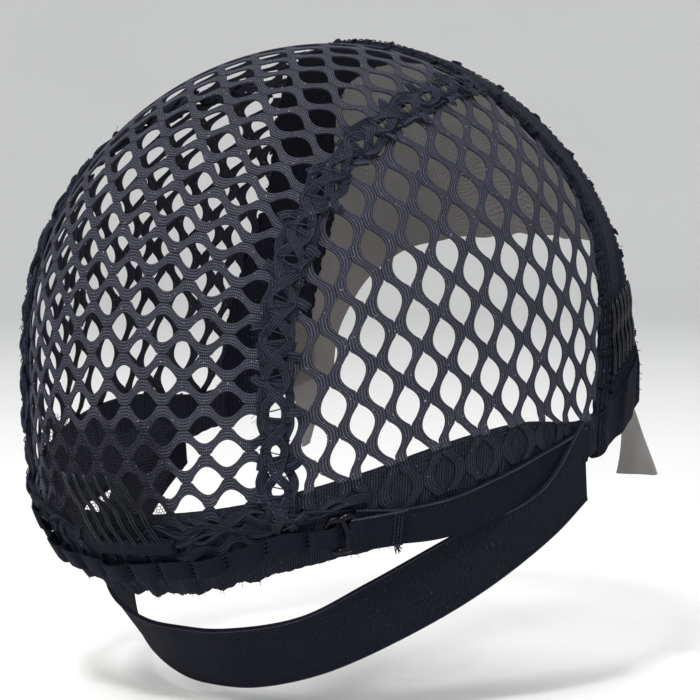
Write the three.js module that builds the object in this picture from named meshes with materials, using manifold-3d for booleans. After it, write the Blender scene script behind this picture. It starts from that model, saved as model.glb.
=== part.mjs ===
// Lace closure wig cap in its worn shape. Millimetres, +Z up, the face towards -Y,
// the wearer's right at -X. The origin is the inside of the crown, where the cap sits on a head.
// A coarse net dome is made of a crown panel and two side panels, joined by bulky seams. A band
// runs over the head from ear to ear with the lace closure in front of it. A hem tape with
// hook loops, straps, hooks and a wide elastic closes the cap at the nape.
import * as THREE from 'three';
import { mergeVertices } from 'three/addons/utils/BufferGeometryUtils.js';
import Module from 'manifold-3d';

const wasm = await Module();
wasm.setup();

// Inner face of the cap: half of an ellipsoid above its widest level, drawn in to the nape below
const HALF_WIDTH = 76.2;
const HALF_LENGTH = 90.2;
const CROWN_RISE = 83.2;
const NAPE_DROP = 82.2;
const NAPE_POWER = 3.5;

// Layers are distances out from the inner face. GAP parts neighbouring edges, BAND_GAP those that
// meet the band's curved rear edge
const GAP = 0.8;
const BAND_GAP = 1.4;
const NET = { inner: 0.3, outer: 2.0, border: 2.4 };
const SEAM = { width: 8, inner: 0.3, edge: 2.0, ridge: 3.4, cornerTilt: 16 };
const BAND = { width: 22, inner: 0.3, outer: 2.9 };
const LACE = { inner: 0.6, outer: 1.6, flare: 10.5, flareStart: 90 };
const HEM = {
  level: -38, slope: 0.3, inner: 0.3, outer: 2.2,
  backHeight: 22, earHeight: 13.5, backLow: -4, sideLow: 2, lowHalfTurn: 8,
};
const RUFFLE = { rise: 1.7, waves: 11, reach: 50, depth: 1.9 };
const LOOP_TAPE = { width: 5.6, inner: 2.6, outer: 3.6, rise: 2.4, endRise: 3.4, shoulder: 0.16, lean: 0.55 };
const STRAP = { inner: 2.5, outer: 3.6, doubled: 4.9, doubleEnd: 60 };
const STRAP_SPAN = { start: 54.8, end: 102 };
const HOOK = {
  width: 9, height: 11.4, thickness: 2.2, seat: 2.7, turn: 50.2, level: 9.6,
  arm: 2.2, round: 2.4, slotBar: 1.6, slotRim: 1.5, notchRim: 0.55,
};
const ELASTIC = { thickness: 1.4 };

// Net lattice: a gap in each cell, every second row set over by half a cell
const CELL = { along: 22.5, across: 20, gapLength: 16, gapWidth: 13, shoulder: 0.3 };

// Turns from the middle of the nape where the ribbon is tacked down. The end loops hold the hooks
const LOOP_TACKS = [4.1, 12.3, 20.6, 28.1, 36.4, 44.2, 49.4];

// Lower edge of the ribbon above the hem, by turn from the middle of the nape
const LOOP_ROWS = [
  { turn: 0, low: 2.0 },
  { turn: 9, low: 3.1 },
  { turn: 17, low: 3.2 },
  { turn: 25, low: 3.8 },
  { turn: 33, low: 6.4 },
  { turn: 40, low: 8.2 },
  { turn: 44.5, low: 7.1 },
  { turn: 48, low: 6.95 },
  { turn: 51, low: 6.95 },
];

// Edges of the right strap above the hem: it hangs a little between the hook and the ear tab
const STRAP_ROWS = [
  { turn: 53, low: 3.8, high: 13.4 },
  { turn: 60, low: 2.4, high: 12.4 },
  { turn: 69, low: -0.2, high: 10.9 },
  { turn: 76, low: 0.1, high: 11.0 },
  { turn: 85, low: 1.4, high: 11.8 },
  { turn: 92, low: 2.2, high: 12.2 },
  { turn: 102, low: 2.2, high: 12.2 },
];

// Middle of the right crown seam: distance from the midline by tilt from the back up and over
const SEAM_ROWS = [
  { tilt: -40, x: 47.0 },
  { tilt: -20, x: 48.3 },
  { tilt: 0, x: 48.8 },
  { tilt: 60, x: 48.0 },
  { tilt: 80, x: 45.8 },
  { tilt: 100, x: 39.6 },
  { tilt: 120, x: 35.0 },
];

// Rear edge of the band by tilt from the crown down to the ear tab
const BAND_ROWS = [
  { tilt: 0, y: -5 },
  { tilt: 20, y: -9 },
  { tilt: 37, y: -20 },
  { tilt: 56, y: -31 },
  { tilt: 74, y: -32 },
  { tilt: 90, y: -28 },
  { tilt: 115, y: -28 },
];

// Front edge of the lace by the same tilt: the hairline, then the loose corner at the temple
const HAIRLINE_ROWS = [
  { tilt: 0, y: -85.5 },
  { tilt: 30, y: -84 },
  { tilt: 50, y: -78.5 },
  { tilt: 65, y: -71 },
  { tilt: 80, y: -64.5 },
  { tilt: 95, y: -60 },
  { tilt: 118, y: -59 },
];

// Cut lower ends, as tilt, of the ear tab and of the lace corner
const TAB_END = { rear: 113.5, front: 98.5 };
const CORNER_END = { rear: 116, front: 116 };

// Neck elastic from the right ear tab to the middle of the nape, heights from the widest level
const ELASTIC_ROWS = [
  { upper: [-79.4, -14.6, -18.7], lower: [-79.2, -16.3, -40.2] },
  { upper: [-78.6, 2.5, -36.5], lower: [-77.2, -4, -49.5] },
  { upper: [-68.2, 24, -47.1], lower: [-67.5, 15, -64.3] },
  { upper: [-52.4, 41.3, -60.1], lower: [-50.5, 30.5, -77.5] },
  { upper: [-37.3, 51.2, -69.6], lower: [-33, 39.2, -86.3] },
  { upper: [-15.5, 58.6, -74.2], lower: [-14, 44, -91.2] },
  { upper: [0, 60, -74.7], lower: [0, 45, -92] },
];

const NAPE_COMB = {
  middle: 8.2, half: 9.8, low: 11, high: 16, inner: 2.7, outer: 5.2,
  teeth: 6, length: 21, lean: 8, radius: 0.75, seat: 4.9, endMargin: 2, root: 1.5,
};
const COMB_LACE = { from: -18, to: 19.5, low: 16.6, high: 50, inner: 2.6, outer: 3.6 };
const TEMPLE_COMB = {
  front: -49.5, rear: -31, low: 95.5, slope: 0.32, depth: 3.2, inner: 3.3, outer: 5.3,
  teeth: 6, length: 14, radius: 0.7, seat: 4.4, endMargin: 1.5,
};

// Facets of each curved piece: steps along it and across it
const STEPS = {
  crown: [6, 6], side: [7, 5], seam: [4, 16], band: [30, 2], lace: [24, 4], hemSide: 7, ruffle: 4,
  strap: [14, 1], elastic: [36, 1], napeBar: [6, 1], templeBar: [5, 1], patch: [6, 5],
  tooth: 3, hookRound: 3, wireRound: 3,
};

const degrees = THREE.MathUtils.degToRad;
const blend = THREE.MathUtils.lerp;

// Smooth curve through the rows of a table: a cubic between rows with averaged slopes
function through(rows, key, value) {
  const slopeAt = (i) => {
    const before = rows[Math.max(i - 1, 0)];
    const after = rows[Math.min(i + 1, rows.length - 1)];
    return (after[value] - before[value]) / (after[key] - before[key]);
  };
  return (at) => {
    let i = 0;
    while (i < rows.length - 2 && at > rows[i + 1][key]) i += 1;
    const step = rows[i + 1][key] - rows[i][key];
    const t = THREE.MathUtils.clamp((at - rows[i][key]) / step, 0, 1);
    const rest = 1 - t;
    return rest * rest * ((1 + 2 * t) * rows[i][value] + t * step * slopeAt(i))
      + t * t * ((1 + 2 * rest) * rows[i + 1][value] - rest * step * slopeAt(i + 1));
  };
}
const seamX = through(SEAM_ROWS, 'tilt', 'x');
const bandRear = through(BAND_ROWS, 'tilt', 'y');
const hairline = through(HAIRLINE_ROWS, 'tilt', 'y');
const loopLow = through(LOOP_ROWS, 'turn', 'low');
const strapLow = through(STRAP_ROWS, 'turn', 'low');
const strapHigh = through(STRAP_ROWS, 'turn', 'high');

// Value between low and high where a test turns false
function turning(low, high, test) {
  for (let i = 0; i < 40; i += 1) {
    const middle = (low + high) / 2;
    if (test(middle)) low = middle;
    else high = middle;
  }
  return low;
}

// Size of the level section at a height, as a share of the widest one
function levelScale(z, out) {
  const drop = z >= 0 ? (z / (CROWN_RISE + out)) ** 2 : (-z / (NAPE_DROP + out)) ** NAPE_POWER;
  return Math.sqrt(Math.max(0, 1 - drop));
}

// Point where a ray from inside the cap meets the layer at a distance out from the inner face
function reach(start, step, out) {
  const at = (r) => start.clone().addScaledVector(step, r);
  const inside = (r) => {
    const p = at(r);
    return Math.hypot(p.x / (HALF_WIDTH + out), p.y / (HALF_LENGTH + out)) < levelScale(p.z, out);
  };
  return at(turning(0, 1.5, inside));
}

// Point of a layer by distance from the midline and tilt from the back, up over the crown
function crownPoint(x, tilt, out) {
  const angle = degrees(tilt);
  const step = new THREE.Vector3(0, HALF_LENGTH * Math.cos(angle), CROWN_RISE * Math.sin(angle));
  return reach(new THREE.Vector3(x, 0, 0), step, out);
}

// Point of a layer by tilt from the crown towards the right ear and distance to the back
function hoopPoint(tilt, y, out) {
  const angle = degrees(tilt);
  const step = new THREE.Vector3(-HALF_WIDTH * Math.sin(angle), 0, CROWN_RISE * Math.cos(angle));
  return reach(new THREE.Vector3(0, y, 0), step, out);
}

// Point of a layer on the wearer's right, straight out from the middle plane
function sidePoint(y, z, out) {
  return reach(new THREE.Vector3(0, y, z), new THREE.Vector3(-HALF_WIDTH, 0, 0), out);
}

// Point of a layer by turn from the middle of the nape to the right and height above the hem
function hemPoint(turn, height, out) {
  const angle = degrees(turn);
  let z = HEM.level + height;
  let y = 0;
  for (let i = 0; i < 12; i += 1) {
    y = (HALF_LENGTH + out) * levelScale(z, out) * Math.cos(angle);
    z = HEM.level - HEM.slope * y + height;
  }
  const x = -(HALF_WIDTH + out) * levelScale(z, out) * Math.sin(angle);
  return new THREE.Vector3(x, y, z);
}

const hoopTilt = (p) => {
  return THREE.MathUtils.radToDeg(Math.atan2(Math.abs(p.x) / HALF_WIDTH, p.z / CROWN_RISE));
};

// The hem tape is widest at the back and narrow at the ears, and its lower edge rises to the sides
const hemHeight = (y) => {
  const toBack = THREE.MathUtils.smoothstep(y, bandRear(90), HALF_LENGTH / 2);
  return blend(HEM.earHeight, HEM.backHeight, toBack);
};
const hemLow = (turn) => {
  const toSide = THREE.MathUtils.smoothstep(Math.abs(turn), HEM.lowHalfTurn, RUFFLE.reach);
  return blend(HEM.backLow, HEM.sideLow, toSide);
};
const hemTop = (y) => HEM.level - HEM.slope * y + hemHeight(y);
const aboveHem = (p) => p.z > hemTop(p.y) + GAP;
const behindBand = (p) => p.y > bandRear(hoopTilt(p)) + BAND_GAP;

// Lowest tilt above the hem and highest tilt behind the band, at a distance from the midline
const tiltAtHem = (x) => turning(20, -50, (tilt) => aboveHem(crownPoint(x, tilt, 0)));
const tiltAtBand = (x) => turning(30, 140, (tilt) => behindBand(crownPoint(x, tilt, 0)));

const stations = (count) => Array.from({ length: count + 1 }, (_, i) => i / count);
const grid = ([along, across]) => [stations(along), stations(across)];

// Closed mesh from points and triangles, turned so that its faces point out
function closedMesh(points, faces) {
  let volume = 0;
  for (const [a, b, c] of faces) {
    volume += points[a].dot(new THREE.Vector3().crossVectors(points[b], points[c]));
  }
  const order = volume < 0 ? faces.map(([a, b, c]) => [a, c, b]) : faces;
  const geometry = new THREE.BufferGeometry();
  geometry.setFromPoints(points);
  geometry.setIndex(order.flat());
  geometry.computeVertexNormals();
  return geometry;
}

// Wall between two layers over a grid. A layer is a distance, or a function of the place in the grid
function wall(place, us, vs, inner, outer) {
  const distance = (layer, u, v) => (typeof layer === 'function' ? layer(u, v) : layer);
  const points = [];
  for (const layer of [outer, inner]) {
    for (const v of vs) {
      for (const u of us) points.push(place(u, v, distance(layer, u, v)));
    }
  }
  const columns = us.length;
  const rows = vs.length;
  const outside = (i, j) => j * columns + i;
  const inside = (i, j) => rows * columns + outside(i, j);
  const faces = [];
  const quad = (a, b, c, d) => faces.push([a, b, c], [a, c, d]);
  for (let j = 0; j < rows - 1; j += 1) {
    for (let i = 0; i < columns - 1; i += 1) {
      quad(outside(i, j), outside(i + 1, j), outside(i + 1, j + 1), outside(i, j + 1));
      quad(inside(i, j), inside(i, j + 1), inside(i + 1, j + 1), inside(i + 1, j));
    }
    quad(outside(0, j + 1), inside(0, j + 1), inside(0, j), outside(0, j));
    const end = columns - 1;
    quad(outside(end, j), inside(end, j), inside(end, j + 1), outside(end, j + 1));
  }
  for (let i = 0; i < columns - 1; i += 1) {
    quad(outside(i, 0), inside(i, 0), inside(i + 1, 0), outside(i + 1, 0));
    const top = rows - 1;
    quad(outside(i + 1, top), inside(i + 1, top), inside(i, top), outside(i, top));
  }
  return closedMesh(points, faces);
}

// Prism through a wall, on a convex outline of flat net coordinates
function gapPrism(outline, place) {
  const past = 2;
  const depths = [NET.outer + past, NET.inner - past];
  const points = depths.flatMap((out) => outline.map(([a, b]) => place(a, b, out)));
  const n = outline.length;
  const faces = [];
  for (let i = 0; i < n; i += 1) {
    const next = (i + 1) % n;
    faces.push([i, next, n + next], [i, n + next, n + i]);
  }
  for (let i = 1; i < n - 1; i += 1) faces.push([0, i + 1, i], [n, n + i, n + i + 1]);
  return closedMesh(points, faces);
}

function toSolid(geometry) {
  const bare = new THREE.BufferGeometry();
  bare.setAttribute('position', geometry.getAttribute('position'));
  bare.setIndex(geometry.getIndex());
  const merged = mergeVertices(bare, 1e-4);
  return new wasm.Manifold(new wasm.Mesh({
    numProp: 3,
    vertProperties: new Float32Array(merged.getAttribute('position').array),
    triVerts: new Uint32Array(merged.getIndex().array),
  }));
}

function toGeometry(solid) {
  const mesh = solid.getMesh();
  const geometry = new THREE.BufferGeometry();
  geometry.setAttribute('position', new THREE.BufferAttribute(mesh.vertProperties, 3));
  geometry.setIndex(new THREE.BufferAttribute(mesh.triVerts, 1));
  geometry.computeVertexNormals();
  return geometry;
}

// Lens-shaped gap outlines of the net in flat coordinates (along the ribbons, across them)
function gapOutlines(alongReach, acrossLow, acrossHigh) {
  const outlines = [];
  const half = CELL.gapLength / 2;
  const shoulder = CELL.gapLength * CELL.shoulder / 2;
  const side = CELL.gapWidth / 2;
  const lens = [
    [half, 0], [shoulder, side], [-shoulder, side],
    [-half, 0], [-shoulder, -side], [shoulder, -side],
  ];
  let row = 0;
  for (let across = acrossLow; across <= acrossHigh; across += CELL.across / 2) {
    const shift = row % 2 ? CELL.along / 2 : 0;
    const count = Math.ceil(alongReach / CELL.along) + 1;
    for (let i = -count; i <= count; i += 1) {
      outlines.push(lens.map(([a, b]) => [a + shift + i * CELL.along, b + across]));
    }
    row += 1;
  }
  return outlines;
}

// A net panel is its wall with every gap that lies whole inside the panel's border cut through
function netPanel(panel, outlines, place, inPanel) {
  const whole = outlines.filter((outline) => outline.every(([a, b]) => inPanel(place(a, b, 0))));
  const gaps = whole.map((outline) => toSolid(gapPrism(outline, place)));
  return toGeometry(gaps.reduce((solid, gap) => solid.subtract(gap), toSolid(panel)));
}

const seamEdge = (tilt, away) => seamX(tilt) + away * (SEAM.width / 2 + GAP);
const backTilt = (p) => {
  return THREE.MathUtils.radToDeg(Math.atan2(p.z / CROWN_RISE, p.y / HALF_LENGTH));
};

// Crown panel: its ribbons run from seam to seam
function crownNet() {
  const place = (u, v, out) => {
    const across = 2 * u - 1;
    let x = across * seamEdge(0, -1);
    const tilt = blend(tiltAtHem(x), tiltAtBand(x), v);
    x = across * seamEdge(tilt, -1);
    return crownPoint(x, blend(tiltAtHem(x), tiltAtBand(x), v), out);
  };
  const panel = wall(place, ...grid(STEPS.crown), NET.inner, NET.outer);
  const arc = (HALF_LENGTH + CROWN_RISE) / 2;
  const flat = (a, b, out) => {
    const x = HALF_WIDTH * Math.sin(a / HALF_WIDTH);
    return crownPoint(x, THREE.MathUtils.radToDeg(b / arc), out);
  };
  const inPanel = (p) => Math.abs(p.x) < seamEdge(backTilt(p), -1) - NET.border
    && p.z > hemTop(p.y) + GAP + NET.border
    && p.y > bandRear(hoopTilt(p)) + GAP + NET.border;
  const lowest = degrees(-33) * arc;
  const highest = degrees(110) * arc;
  return netPanel(panel, gapOutlines(HALF_WIDTH, lowest, highest), flat, inPanel);
}

// Side panel on the wearer's right: its ribbons run from the hem up to the seam
function sideNet() {
  const seamAt = (tilt) => crownPoint(-seamEdge(tilt, 1), tilt, 0);
  const lowBack = turning(20, -50, (tilt) => aboveHem(seamAt(tilt)));
  const frontTop = turning(30, 140, (tilt) => behindBand(seamAt(tilt)));
  const bandAt = (tilt) => hoopPoint(tilt, bandRear(tilt) + BAND_GAP, 0);
  const lowFront = turning(60, 125, (tilt) => aboveHem(bandAt(tilt)));
  const topTilt = hoopTilt(seamAt(frontTop));
  const corner = { front: bandAt(lowFront), back: seamAt(lowBack) };
  const bottom = (u) => {
    const y = blend(corner.front.y, corner.back.y, u);
    return new THREE.Vector3(0, y, hemTop(y) + GAP);
  };
  const top = (u) => seamAt(blend(frontTop, SEAM.cornerTilt, u));
  const front = (v) => bandAt(blend(lowFront, topTilt, v));
  const back = (v) => seamAt(blend(lowBack, SEAM.cornerTilt, v));
  const place = (u, v, out) => {
    const spread = (key) => {
      const edges = blend(bottom(u)[key], top(u)[key], v) + blend(front(v)[key], back(v)[key], u);
      const corners = blend(
        blend(bottom(0)[key], bottom(1)[key], u),
        blend(top(0)[key], top(1)[key], u),
        v,
      );
      return edges - corners;
    };
    return sidePoint(spread('y'), spread('z'), out);
  };
  const panel = wall(place, ...grid(STEPS.side), NET.inner, NET.outer);
  const flat = (a, b, out) => {
    const y = HALF_LENGTH * Math.sin(b / HALF_LENGTH);
    const z = a > 0 ? CROWN_RISE * Math.sin(a / CROWN_RISE) : a;
    return sidePoint(y, z, out);
  };
  const inPanel = (p) => -p.x > seamEdge(backTilt(p), 1) + NET.border
    && p.z > hemTop(p.y) + GAP + NET.border
    && p.y > bandRear(hoopTilt(p)) + GAP + NET.border;
  return netPanel(panel, gapOutlines(CROWN_RISE, bandRear(74), HALF_LENGTH), flat, inPanel);
}

// Seam on the wearer's right: a strip that is thick along its middle
function crownSeam() {
  const place = (u, v, out) => {
    const away = (u - 0.5) * SEAM.width;
    const base = -(seamX(0) + away);
    let tilt = blend(tiltAtHem(base), tiltAtBand(base), v);
    const x = -(seamX(tilt) + away);
    tilt = blend(tiltAtHem(x), tiltAtBand(x), v);
    return crownPoint(-(seamX(tilt) + away), tilt, out);
  };
  const ridge = (u) => blend(SEAM.edge, SEAM.ridge, Math.sin(Math.PI * u));
  return wall(place, ...grid(STEPS.seam), SEAM.inner, ridge);
}

// Band over the head from the right ear tab to the left one, cut slanting at its lower ends
function frontBand() {
  const place = (u, v, out) => {
    const tilt = (2 * u - 1) * blend(TAB_END.rear, TAB_END.front, v);
    return hoopPoint(tilt, bandRear(Math.abs(tilt)) - v * BAND.width, out);
  };
  return wall(place, ...grid(STEPS.band), BAND.inner, BAND.outer);
}

// Lace from the band to the hairline, with a loose corner standing off at each temple
function laceClosure() {
  const place = (u, v, out) => {
    const tilt = (2 * u - 1) * blend(CORNER_END.rear, CORNER_END.front, v);
    const size = Math.abs(tilt);
    const rear = bandRear(size) - BAND.width - GAP;
    const stand = THREE.MathUtils.smoothstep(size, LACE.flareStart, CORNER_END.front) * v;
    return hoopPoint(tilt, blend(rear, hairline(size), v), out + LACE.flare * stand);
  };
  return wall(place, ...grid(STEPS.lace), LACE.inner, LACE.outer);
}

// Hem tape from ear tab to ear tab, its lower edge ruffled across the back
function hemBand() {
  const heightFrom = (turn, guess) => hemHeight(hemPoint(turn, guess, 0).y);
  const topHeight = (turn) => heightFrom(turn, heightFrom(turn, HEM.earHeight));
  const rows = [
    (turn) => hemLow(turn),
    (turn) => hemLow(turn) + RUFFLE.depth,
    topHeight,
  ];
  const ends = rows.map((row) => turning(70, 125, (turn) => behindBand(hemPoint(turn, row(turn), 0))));
  const reachOut = stations(STEPS.hemSide).slice(1);
  const waves = stations(RUFFLE.waves * STEPS.ruffle);
  const columns = [
    ...reachOut.toReversed().map((t) => ({ turn: -RUFFLE.reach, toEnd: t, sign: -1 })),
    ...waves.map((t) => ({ turn: RUFFLE.reach * (2 * t - 1), toEnd: 0, sign: 1 })),
    ...reachOut.map((t) => ({ turn: RUFFLE.reach, toEnd: t, sign: 1 })),
  ];
  const place = (i, j, out) => {
    const column = columns[i];
    const turn = blend(column.turn, column.sign * ends[j], column.toEnd);
    const phase = (turn / RUFFLE.reach) * RUFFLE.waves * Math.PI;
    const ruffled = j === 0 && Math.abs(turn) < RUFFLE.reach;
    return hemPoint(turn, rows[j](turn), out + (ruffled ? RUFFLE.rise * Math.sin(phase) : 0));
  };
  return wall(place, columns.map((_, i) => i), rows.map((_, j) => j), HEM.inner, HEM.outer);
}

// Ribbon along the back hem, standing off in a loop between tacks
function loopTape() {
  const tacks = [...LOOP_TACKS.map((turn) => -turn).reverse(), ...LOOP_TACKS];
  const stops = tacks.slice(0, -1).flatMap((turn, k) => {
    const span = tacks[k + 1] - turn;
    const rise = k === 0 || k === tacks.length - 2 ? LOOP_TAPE.endRise : LOOP_TAPE.rise;
    return [
      { turn, rise: 0 },
      { turn: turn + span * LOOP_TAPE.shoulder, rise },
      { turn: turn + span * (1 - LOOP_TAPE.shoulder), rise },
    ];
  });
  stops.push({ turn: tacks.at(-1), rise: 0 });
  const place = (i, v, out) => {
    const { turn, rise } = stops[i];
    const inHook = Math.abs(turn) > LOOP_TACKS.at(-2) + 1;
    const lean = inHook ? Math.sign(turn) * LOOP_TAPE.lean * (1 - v) : 0;
    return hemPoint(turn + lean, loopLow(Math.abs(turn)) + v * LOOP_TAPE.width, out + rise);
  };
  return wall(place, stops.map((_, i) => i), stations(1), LOOP_TAPE.inner, LOOP_TAPE.outer);
}

// Strap on the wearer's right, turned back on itself behind the hook
function strap() {
  const turnAt = (u) => blend(STRAP_SPAN.start, STRAP_SPAN.end, u);
  const place = (u, v, out) => {
    const turn = turnAt(u);
    return hemPoint(turn, blend(strapLow(turn), strapHigh(turn), v), out);
  };
  const outer = (u) => (turnAt(u) < STRAP.doubleEnd ? STRAP.doubled : STRAP.outer);
  return wall(place, ...grid(STEPS.strap), STRAP.inner, outer);
}

// Hook plate with a slot for the strap and an open hook at the other side, seated on the hem
function strapHook() {
  const { arm, round } = HOOK;
  const w = HOOK.width / 2;
  const h = HOOK.height / 2;
  const plate = new THREE.Shape();
  plate.moveTo(-w + round, -h);
  plate.lineTo(w - round, -h);
  plate.absarc(w - round, -h + round, round, -Math.PI / 2, 0);
  plate.lineTo(w, h - round);
  plate.absarc(w - round, h - round, round, 0, Math.PI / 2);
  plate.lineTo(-w + round, h);
  plate.absarc(-w + round, h - round, round, Math.PI / 2, Math.PI);
  plate.lineTo(-w, -h / 2);
  plate.lineTo(-w + arm, -h / 2);
  plate.lineTo(-w + arm, h - arm);
  plate.lineTo(-HOOK.notchRim, h - arm);
  plate.lineTo(-HOOK.notchRim, -h + round);
  plate.lineTo(-w, -h + round);
  plate.absarc(-w + round, -h + round, round, Math.PI, 1.5 * Math.PI);
  const slot = new THREE.Path();
  slot.moveTo(HOOK.slotBar, -h + arm);
  slot.lineTo(w - HOOK.slotRim, -h + arm);
  slot.lineTo(w - HOOK.slotRim, h - arm);
  slot.lineTo(HOOK.slotBar, h - arm);
  slot.closePath();
  plate.holes.push(slot);
  const geometry = new THREE.ExtrudeGeometry(plate, {
    depth: HOOK.thickness, bevelEnabled: false, curveSegments: STEPS.hookRound,
  });
  const seat = hemPoint(HOOK.turn, HOOK.level, HOOK.seat);
  const along = hemPoint(HOOK.turn + 1, HOOK.level, HOOK.seat).sub(seat).normalize();
  const up = hemPoint(HOOK.turn, HOOK.level + 1, HOOK.seat).sub(seat).normalize();
  const outward = new THREE.Vector3().crossVectors(along, up).normalize();
  up.crossVectors(outward, along);
  geometry.applyMatrix4(new THREE.Matrix4().makeBasis(along, up, outward).setPosition(seat));
  return geometry;
}

// Wide elastic under the nape from ear tab to ear tab
function neckElastic() {
  const leftRows = ELASTIC_ROWS.slice(0, -1).reverse().map(({ upper, lower }) => ({
    upper: [-upper[0], upper[1], upper[2]],
    lower: [-lower[0], lower[1], lower[2]],
  }));
  const rows = [...ELASTIC_ROWS, ...leftRows];
  const edge = (key) => {
    const corners = rows.map((row) => new THREE.Vector3(...row[key]));
    return new THREE.CatmullRomCurve3(corners, false, 'centripetal');
  };
  const upper = edge('upper');
  const lower = edge('lower');
  const place = (u, v, out) => {
    const step = 0.002;
    const from = Math.max(u - step, 0);
    const to = Math.min(u + step, 1);
    const high = upper.getPoint(u);
    const low = lower.getPoint(u);
    const middle = (t) => upper.getPoint(t).add(lower.getPoint(t));
    const forward = middle(to).sub(middle(from));
    const outward = new THREE.Vector3().crossVectors(forward, low.clone().sub(high)).normalize();
    return low.lerp(high, v).addScaledVector(outward, out);
  };
  return wall(place, ...grid(STEPS.elastic), 0, ELASTIC.thickness);
}

// Round wire through points, closed at both ends
function wire(points, radius) {
  const section = new THREE.Shape();
  section.absarc(0, 0, radius, 0, 2 * Math.PI);
  const path = new THREE.CatmullRomCurve3(points);
  return new THREE.ExtrudeGeometry(section, {
    steps: points.length - 1, extrudePath: path, bevelEnabled: false, curveSegments: STEPS.wireRound,
  });
}

const joined = (solids) => toGeometry(solids.reduce((whole, piece) => whole.add(piece)));

// Comb at the nape: a bar above the hem, its wire teeth leaning up over the tulle patch
function napeComb() {
  const comb = NAPE_COMB;
  const bar = wall(
    (u, v, out) => {
      const turn = comb.middle + comb.half * (2 * u - 1);
      return hemPoint(turn, blend(comb.low, comb.high, v), out);
    },
    ...grid(STEPS.napeBar), comb.inner, comb.outer,
  );
  const teeth = stations(comb.teeth - 1).map((t) => {
    const foot = comb.middle + (comb.half - comb.endMargin) * (2 * t - 1);
    const rows = stations(STEPS.tooth).map((s) => {
      return hemPoint(foot - comb.lean * s, comb.high - comb.root + comb.length * s, comb.seat);
    });
    return wire(rows, comb.radius);
  });
  return joined([bar, ...teeth].map(toSolid));
}

// Tulle patch under the nape comb
function combLace() {
  const place = (u, v, out) => {
    return hemPoint(blend(COMB_LACE.from, COMB_LACE.to, u), blend(COMB_LACE.low, COMB_LACE.high, v), out);
  };
  return wall(place, ...grid(STEPS.patch), COMB_LACE.inner, COMB_LACE.outer);
}

// Comb on the right side of the band: a slanting bar with its wire teeth pointing up
function templeComb() {
  const comb = TEMPLE_COMB;
  const tiltAt = (y) => comb.low - comb.slope * (comb.rear - y);
  const bar = wall(
    (u, v, out) => {
      const y = blend(comb.rear, comb.front, u);
      return hoopPoint(tiltAt(y) + comb.depth * (v - 0.5), y, out);
    },
    ...grid(STEPS.templeBar), comb.inner, comb.outer,
  );
  const teeth = stations(comb.teeth - 1).map((t) => {
    const y = blend(comb.rear - comb.endMargin, comb.front + comb.endMargin, t);
    const rows = stations(STEPS.tooth).map((s) => hoopPoint(tiltAt(y) - comb.length * s, y, comb.seat));
    return wire(rows, comb.radius);
  });
  return joined([bar, ...teeth].map(toSolid));
}

const LOOKS = {
  knit: { color: 0x15161c, roughness: 0.85, metalness: 0 },
  net: { color: 0x1a1b24, roughness: 0.8, metalness: 0 },
  lace: { color: 0x4a4446, roughness: 0.9, metalness: 0 },
  elastic: { color: 0x191b23, roughness: 0.75, metalness: 0 },
  hook: { color: 0x0c0c0e, roughness: 0.25, metalness: 0 },
  comb: { color: 0x111114, roughness: 0.3, metalness: 0.6 },
};

const cap = new THREE.Group();
cap.position.z = -CROWN_RISE;

function put(name, geometry, look) {
  const mesh = new THREE.Mesh(geometry, new THREE.MeshStandardMaterial(look));
  mesh.name = name;
  cap.add(mesh);
}

// The same piece on the wearer's left, with its triangles turned to keep facing out
function mirrored(geometry) {
  const copy = geometry.clone();
  if (!copy.getIndex()) {
    const count = copy.getAttribute('position').count;
    copy.setIndex(Array.from({ length: count }, (_, i) => i));
  }
  copy.applyMatrix4(new THREE.Matrix4().makeScale(-1, 1, 1));
  const index = copy.getIndex();
  for (let i = 0; i < index.count; i += 3) {
    const kept = index.getX(i + 1);
    index.setX(i + 1, index.getX(i + 2));
    index.setX(i + 2, kept);
  }
  return copy;
}

function putBoth(name, geometry, look) {
  put(`${name}_right`, geometry, look);
  put(`${name}_left`, mirrored(geometry), look);
}

put('crown_net', crownNet(), LOOKS.net);
putBoth('side_net', sideNet(), LOOKS.net);
putBoth('crown_seam', crownSeam(), LOOKS.net);
put('front_band', frontBand(), LOOKS.knit);
put('lace_closure', laceClosure(), LOOKS.lace);
put('hem_band', hemBand(), LOOKS.knit);
put('loop_tape', loopTape(), LOOKS.knit);
putBoth('strap', strap(), LOOKS.elastic);
putBoth('strap_hook', strapHook(), LOOKS.hook);
put('neck_elastic', neckElastic(), LOOKS.elastic);
put('nape_comb', napeComb(), LOOKS.comb);
put('comb_lace', combLace(), LOOKS.lace);
putBoth('temple_comb', templeComb(), LOOKS.comb);

export default cap;
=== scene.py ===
"""Looks of the lace closure wig cap: knitted net, overlocked seams, tapes, lace, tulle, hooks and combs."""
import math

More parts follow.
